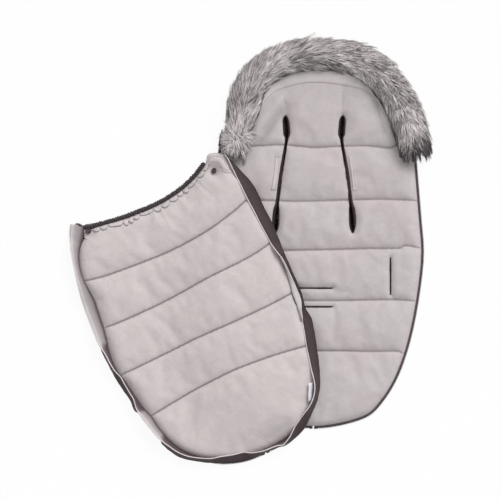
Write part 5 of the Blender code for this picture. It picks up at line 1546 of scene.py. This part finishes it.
wall_foot = traced(WALL_FOOT_START) + traced(COVER_SIDE_EDGE[3:])
wall_foot = curve_through(wall_foot, WALL_STEP)
wall_normals = side_normals(wall_foot, 1.0)
rim_out = crossings(wall_foot, wall_normals, WALL_FREE_EDGE, 0.040)
known = np.flatnonzero(~np.isnan(rim_out))
rim_out = evened(np.interp(np.arange(len(rim_out)), known, rim_out[known]))
bulge_left = crossings(wall_foot, wall_normals, WALL_BULGE_LEFT, 0.020)
bulge_foot = crossings(wall_foot, wall_normals, WALL_BULGE_FOOT, 0.020)
bulge_out = np.where(np.isnan(bulge_left), bulge_foot, bulge_left)
bulge_out = evened(np.where(np.isnan(bulge_out), rim_out * 0.36, bulge_out))
fold_out = crossings(wall_foot, wall_normals, WALL_FOLD, 0.036)
fold_out = evened(np.where(np.isnan(fold_out), bulge_out + 0.58 * (rim_out - bulge_out), fold_out))
outer_rings, lining_rings, piping_rings = [], [], []
for index, spot in enumerate(wall_foot):
    out = Vector((*wall_normals[index], 0.0))
    up = Vector((0.0, 0.0, 1.0))
    from_end = (len(wall_foot) - 1 - index) * WALL_STEP
    low, middle, high = [span * (0.40 + 0.60 * min(from_end / WALL_END_TAPER, 1.0)) for span in WALL_SPANS]
    bulge, fold, rim = bulge_out[index], fold_out[index], rim_out[index]
    foot = Vector((*spot, float(cover_floor(plan_array([spot]))[0]) + WALL_FOOT_RISE))
    stops = [foot, foot + out * bulge + up * rise_of(low, bulge, 0.45)]
    stops.append(stops[-1] + out * (fold - bulge) + up * rise_of(middle, fold - bulge, 0.25))
    stops.append(stops[-1] + out * (rim - fold) + up * rise_of(high, rim - fold, 0.16))
    for stop in stops[1:]:
        stop.z = max(stop.z, rise_towards(cover_tree, stop, 0.0) + WALL_OVER_LINING)
    ends = [2.0 * stops[0] - stops[1]] + stops + [2.0 * stops[-1] - stops[-2]]
    column = []
    for row in range(WALL_ROWS):
        at = row / (WALL_ROWS - 1) * 2.9999
        column.append(spline(*ends[int(at):int(at) + 4], at - int(at)))
    outside, inside = [], []
    for row, place in enumerate(column):
        slope = (column[min(row + 1, WALL_ROWS - 1)] - column[max(row - 1, 0)]).normalized()
        across = slope.z * out - slope.dot(out) * up
        share = row / (WALL_ROWS - 1)
        pucker = 0.0009 * noise.noise(Vector((place.x * 70.0, place.y * 70.0, share * 2.0))) * sin(pi * share)
        place = place + pucker * across
        outside.append((place + WALL_GAP * across, place + (WALL_GAP + WALL_CLOTH) * across))
        inside.append((place - (WALL_GAP + WALL_FLEECE) * across, place - WALL_GAP * across))
    outer_rings.append([near for near, far in outside] + [far for near, far in reversed(outside)])
    lining_rings.append([near for near, far in inside] + [far for near, far in reversed(inside)])
    bead = column[-1] + slope * PIPING_RADIUS - 0.0006 * across
    piping_rings.append([bead + PIPING_RADIUS * (cos(angle) * across + sin(angle) * slope)
                         for angle in np.linspace(0.0, 2.0 * pi, 9)[:-1]])
# The fold colour is painted shadow along the wall cloth's hidden foot.
wall_cloth = cloth("wall_plum_cloth", srgb(72, 57, 61), srgb(50, 38, 42), threads=800.0,
                   fold=srgb(22, 8, 12))
outer_shades = [list(WALL_FOOT_SHADES) + list(reversed(WALL_FOOT_SHADES))] * len(outer_rings)
wall_outer = new_piece("baffle_wall_cloth", loft(outer_rings, shades=outer_shades), "front_cover")
wall_outer.data.materials.append(wall_cloth)
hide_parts("baffle_outer")
wall_fleece = fleece("wall_fleece", srgb(208, 201, 202), srgb(204, 199, 200), srgb(88, 74, 80))
# Painted shade on the wall's fleece, weaker towards the wall's right end.
wall_shades = []
for index in range(len(lining_rings)):
    fade = np.clip(((len(lining_rings) - 1 - index) * WALL_STEP - 0.10) / 0.10, 0.12, 1.0)
    wall_shades.append([shade * fade for shade in WALL_SHADES + WALL_SHADES[::-1]])
wall_lining = new_piece("baffle_wall_fleece", loft(lining_rings, shades=wall_shades), "front_cover")
wall_lining.data.materials.append(wall_fleece)
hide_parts("baffle_lining")
piping_cloth = cloth("piping_cloth", srgb(232, 224, 224), srgb(206, 196, 197), threads=1400.0)
wall_piping = new_piece("baffle_edge_piping", loft(piping_rings), "front_cover")
wall_piping.data.materials.append(piping_cloth)
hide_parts("baffle_piping")


# Zip of the cover: the other halves of the two zips, along the cover's seam outside the wall. They
# end at a gap at the foot, and at the top their tape ends are folded under the corners.
COVER_CORNER_LEFT = (73.4, 243.5)
COVER_CORNER_RIGHT = (224.2, 155.4)
COVER_FOOT_GAP = (265.8, 450.6)
COVER_GAP_HALF = 0.0012
LOOP_STEP = 0.003
FOLDED_END = ((75.6, 225.0), (78.6, 224.6), (82.0, 226.4))
FOLDED_SECTION = ((-0.0030, -0.0006), (0.0030, -0.0002), (0.0032, 0.0010), (0.0, 0.0020), (-0.0032, 0.0008))


def nearest_index(line, spot):
    return min(range(len(line)), key=lambda index: (line[index] - spot).length)


def stretch(loop, start, end, via):
    """The part of a closed loop from one point to another that passes a third."""
    first, last, middle = (nearest_index(loop, on_photo(*spot)) for spot in (start, end, via))
    count = len(loop)
    forward = [(first + step) % count for step in range((last - first) % count + 1)]
    if middle not in forward:
        forward = [(first - step) % count for step in range((first - last) % count + 1)]
    return [loop[index] for index in forward]


def ground_reader(line):
    """Floor heights under the cover, read from the nearest point of a line."""
    places = plan_array(line)
    grounds = cover_floor(places)
    return lambda spot: float(grounds[np.argmin(np.hypot(places[:, 0] - spot[0], places[:, 1] - spot[1]))])


smooth_loop = curve_through(cover_loop, LOOP_STEP, closed=True)
cover_run = stretch(smooth_loop, COVER_CORNER_LEFT, COVER_CORNER_RIGHT, COVER_FOOT_GAP)
cover_ground = ground_reader(cover_run)
gap_index = nearest_index(cover_run, on_photo(*COVER_FOOT_GAP))
gap_steps = max(round(COVER_GAP_HALF / LOOP_STEP), 1)
cover_halves = (("left", cover_run[:gap_index - gap_steps + 1]),
                ("right", cover_run[gap_index + gap_steps:]))
for name, run in cover_halves:
    run = curve_through(run, ZIP_STEP)
    low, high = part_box(f"cover_zip_pin_{name}")
    stop_low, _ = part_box(f"cover_zip_stop_{name}")

    def fitting(spot, low=low, high=high, stop_low=stop_low):
        beside_pin = low.x - 0.001 < spot.x < high.x + 0.001 and spot.y < -0.4
        return beside_pin or spot.y > stop_low.y - 0.001

    zip_half("cover", name, "front_cover", run, 1.0, cover_ground, fitting)
    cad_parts[f"cover_zip_pin_{name}"].material_slots[0].material = zip_teeth_plastic
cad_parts["cover_zip_stop_right"].material_slots[0].material = zip_teeth_plastic
folded = curve_through(traced(FOLDED_END), 0.003)
rings = []
for index, (spot, normal) in enumerate(zip(folded, side_normals(folded, 1.0))):
    arch = 0.0060 + 0.0030 * sin(pi * index / (len(folded) - 1))
    rings.append([Vector((*(spot + out * normal), arch + up)) for out, up in FOLDED_SECTION])
folded_tape = new_piece("cover_zip_folded_end_left", loft(rings), "front_cover")
folded_tape.data.materials.append(zip_tape_cloth)
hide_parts("cover_zip_stop_left")


# Gathered top edge: a dark cloth casing with flat elastic inside. The stretched elastic was sewn in,
# so the casing stands in close ribs all along.
CASING_LINE = (
    (83.9, 227.0), (88.0, 226.9), (92.0, 226.2), (104.0, 223.0), (117.0, 219.3), (129.0, 215.2),
    (140.5, 210.8), (151.5, 206.4), (161.5, 201.4), (173.5, 194.0), (184.7, 185.6), (195.0, 175.2),
    (204.6, 162.8))
CASING_RADIUS = 0.0059
CASING_SIDES = 16
RIB_PITCH = 0.0056
RINGS_IN_RIB = 6

casing_line = curve_through(traced(CASING_LINE), RIB_PITCH / RINGS_IN_RIB)
grounds = cover_floor(plan_array(casing_line))
rib_shades = []
rings = []
for index, (spot, normal, ground) in enumerate(zip(casing_line, side_normals(casing_line, -1.0), grounds)):
    phase = index / RINGS_IN_RIB + 0.35 * noise.noise(Vector((index * 0.031, 0.0, 0.0)))
    ring, shades = [], []
    end = min(index, len(casing_line) - 1 - index) / (RINGS_IN_RIB * 0.8)
    close = sqrt(max(1.0 - (1.0 - min(end, 1.0)) ** 2, 0.02))
    for corner in range(CASING_SIDES):
        angle = 2.0 * pi * corner / CASING_SIDES
        skew = 0.16 * sin(angle + 3.0 * noise.noise(Vector((phase * 0.4, 2.0, 0.0))))
        rib = abs(sin(pi * (phase + skew)))
        lump = 0.30 * noise.noise(Vector((phase * 0.8, angle, 1.0)))
        size = CASING_RADIUS * close * (0.66 + 0.38 * rib + lump)
        out = cos(angle) * size
        up = sin(angle) * size * 0.92
        place = spot + out * normal
        ring.append(Vector((place.x, place.y, ground + CASING_RADIUS + 0.0006 + up)))
        # Painted shade in the hollows between ribs.
        shades.append(1.0 - rib)
    rings.append(ring)
    rib_shades.append(shades)
# The casing's fold colour is that painted shade, near black.
casing = new_piece("elastic_gathered_casing", loft(rings, shades=rib_shades), "front_cover")
casing.data.materials.append(cloth("casing_cloth", srgb(78, 68, 71), srgb(56, 46, 50), threads=1100.0,
                                   fold=srgb(10, 4, 6)))
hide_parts("elastic_casing")
elastic_webbing = cloth("elastic_webbing", srgb(70, 60, 64), srgb(40, 32, 36), threads=2200.0)
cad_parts["top_elastic"].material_slots[0].material = elastic_webbing


# Gathers: where the elastic pulls the lining together, the fleece stands out below the casing in a row
# of small uneven loops, caught by the casing's seam.
GATHERS = 15.0
GATHER_DEPTH = 0.0120
GATHER_ROWS = 9
GATHER_CLOTH = 0.0010

gather_line = curve_through(traced(COVER_TOP_EDGE[5:]), 0.0013)
plan_middle = sum(cover_edge, Vector((0.0, 0.0))) / len(cover_edge)
gather_in = side_normals(gather_line, 1.0)
if (gather_line[0] + gather_in[0] * 0.01 - plan_middle).length > (gather_line[0] - plan_middle).length:
    gather_in = side_normals(gather_line, -1.0)
bm = bmesh.new()
columns = len(gather_line)
bmesh.ops.create_grid(bm, x_segments=columns - 1, y_segments=GATHER_ROWS - 1, size=1.0)
bm.verts.ensure_lookup_table()
painted_shade_layer = bm.verts.layers.float.new("seam")
spots, swells = [], []
for vert in bm.verts:
    column, row = vert.index % columns, vert.index // columns
    along, down = column / (columns - 1.0), row / (GATHER_ROWS - 1.0)
    phase = GATHERS * along + 1.1 * noise.noise(Vector((along * 7.0, 4.0, 0.0)))
    round_ = 1.0 - (2.0 * (phase % 1.0) - 1.0) ** 2
    uneven = 0.62 + 1.1 * abs(noise.noise(Vector((int(phase) * 5.31, 9.7, 0.0))))
    reach = 0.0022 + GATHER_DEPTH * uneven * sqrt(round_)
    spots.append(gather_line[column] + gather_in[column] * reach * down)
    swells.append(0.0006 + 0.0030 * sin(pi * down) ** 0.6 * sqrt(round_))
    # Painted shade at the cusps between loops and along their lower ends.
    vert[painted_shade_layer] = max(0.75 * exp(-round_ / 0.10), 0.80 * exp(-((1.0 - down) / 0.14) ** 2))
for vert, spot, swell, ground in zip(bm.verts, spots, swells, cover_floor(plan_array(spots))):
    vert.co = (*spot, rise_towards(cover_tree, spot, ground) + swell)
thicken(bm, GATHER_CLOTH)
gathers = new_piece("top_edge_gathers", bm, "front_cover")
gathers.data.materials.append(cover_fleece_painted_light)


# Corner tabs: rounded fleece facings on the cover's two top corners, edged with a row of stitches.
# Each carries the socket of a snap that meets a stud on the mat.
TAB_RIGHT = ((206.6, 163.6), (206.7, 158.0), (208.3, 154.8), (213.5, 153.5), (219.5, 153.9), (224.4, 155.9),
             (228.8, 162.6), (233.0, 169.6), (233.6, 172.8), (227.5, 173.4), (221.5, 171.9), (217.6, 173.2),
             (214.0, 175.6), (209.5, 175.4), (206.0, 173.4), (205.2, 169.0))
TAB_LEFT = (
    (84.6, 229.6), (91.0, 229.4), (97.0, 228.8), (98.6, 231.0), (95.0, 234.2), (91.0, 237.0),
    (87.4, 239.6), (84.8, 238.0), (84.6, 234.0))
TAB_STITCHES_RIGHT = (
    ((208.7, 162.0), (209.3, 158.4), (212.5, 156.7), (218.0, 156.9), (222.2, 158.4), (226.0, 164.2)),
    ((207.4, 166.4), (213.0, 164.8), (219.6, 166.9), (228.6, 171.4)))
TAB_STITCHES_LEFT = (((86.2, 236.4), (86.2, 231.4), (92.0, 231.0), (96.6, 230.4)),)


def lay_tab(name, outline, seat, socket):
    """A rounded facing that lies on the cover's lining and carries a snap's socket."""
    edge = curve_through(traced(outline), 0.0016, closed=True)
    bm, from_rim, *_ = cloth_plan(name, edge, [], [], 0.0022)
    snap, lift = snap_seat(socket)
    spots = plan_of(bm)
    for vert, distance, ground in zip(bm.verts, from_rim, cover_floor(spots)):
        base = rise_towards(cover_tree, vert.co, ground + seat)
        apart = sqrt((vert.co.x - snap[0]) ** 2 + (vert.co.y - snap[1]) ** 2)
        around = min(max((apart - 0.0072) / 0.014, 0.0), 1.0)
        rise = base + 0.0008 + 0.0012 * min(distance / 0.003, 1.0)
        vert.co.z = rise * around + (ground + lift - 0.0010) * (1.0 - around)
    close_down(bm, lambda place: place.z - 0.0016)
    tab = new_piece(name, bm, "front_cover")
    tab.data.materials.append(cover_fleece_painted_light)
    return tab


tab_right = lay_tab("corner_facing_right", TAB_RIGHT, 0.0060, "cover_snap_socket_right")
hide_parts("corner_tab_right")
tab_left = lay_tab("corner_facing_left", TAB_LEFT, 0.0060, "cover_snap_socket_left")
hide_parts("corner_tab_left")
for name, tab, rows in (("corner_stitches_right", tab_right, TAB_STITCHES_RIGHT),
                        ("corner_stitches_left", tab_left, TAB_STITCHES_LEFT)):
    tab_tree = surface_tree(tab)
    bm = bmesh.new()
    for row in rows:
        line = curve_through(traced(row), 0.002)
        raised = [Vector((spot.x, spot.y, rise_towards(tab_tree, spot, 0.0))) for spot in line]
        raised = [spot for spot in raised if spot.z > 0.0]
        add_tape_stitches(bm, raised, 0.0003, STITCH_LENGTH, 0.0038, width=0.0008)
    stitches = new_piece(name, bm, "front_cover", smooth=False)
    stitches.data.materials.append(stitch_thread)


# Sewn-in label: a folded tab of white satin ribbon at the wall's seam. It is left blank.
LABEL_CORNERS = ((313.4, 381.6), (308.3, 382.2), (308.0, 400.6), (312.0, 401.2))
LABEL_COLUMNS = 5
LABEL_ROWS = 9
LABEL_THICKNESS = 0.0005
bm = bmesh.new()
bmesh.ops.create_grid(bm, x_segments=LABEL_COLUMNS, y_segments=LABEL_ROWS, size=1.0)
right_top, left_top, left_foot, right_foot = traced(LABEL_CORNERS)
for vert in bm.verts:
    across, down = (vert.co.x + 1.0) / 2.0, (1.0 - vert.co.y) / 2.0
    place = left_top.lerp(left_foot, down).lerp(right_top.lerp(right_foot, down), across)
    curl = 0.0012 * sin(pi * across) + 0.0006 * sin(3.0 * pi * down)
    vert.co = (*place, rise_towards(cover_tree, place, 0.034) + 0.0020 + curl + 0.0070 * (1.0 - across))
bmesh.ops.recalc_face_normals(bm, faces=bm.faces)
thicken(bm, LABEL_THICKNESS)
label = new_piece("sewn_in_label", bm, "front_cover")
label.data.materials.append(cloth("label_satin", srgb(240, 238, 246), srgb(222, 219, 230), threads=2400.0,
                                  relief=0.15, roughness=0.42))
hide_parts("blank_label")
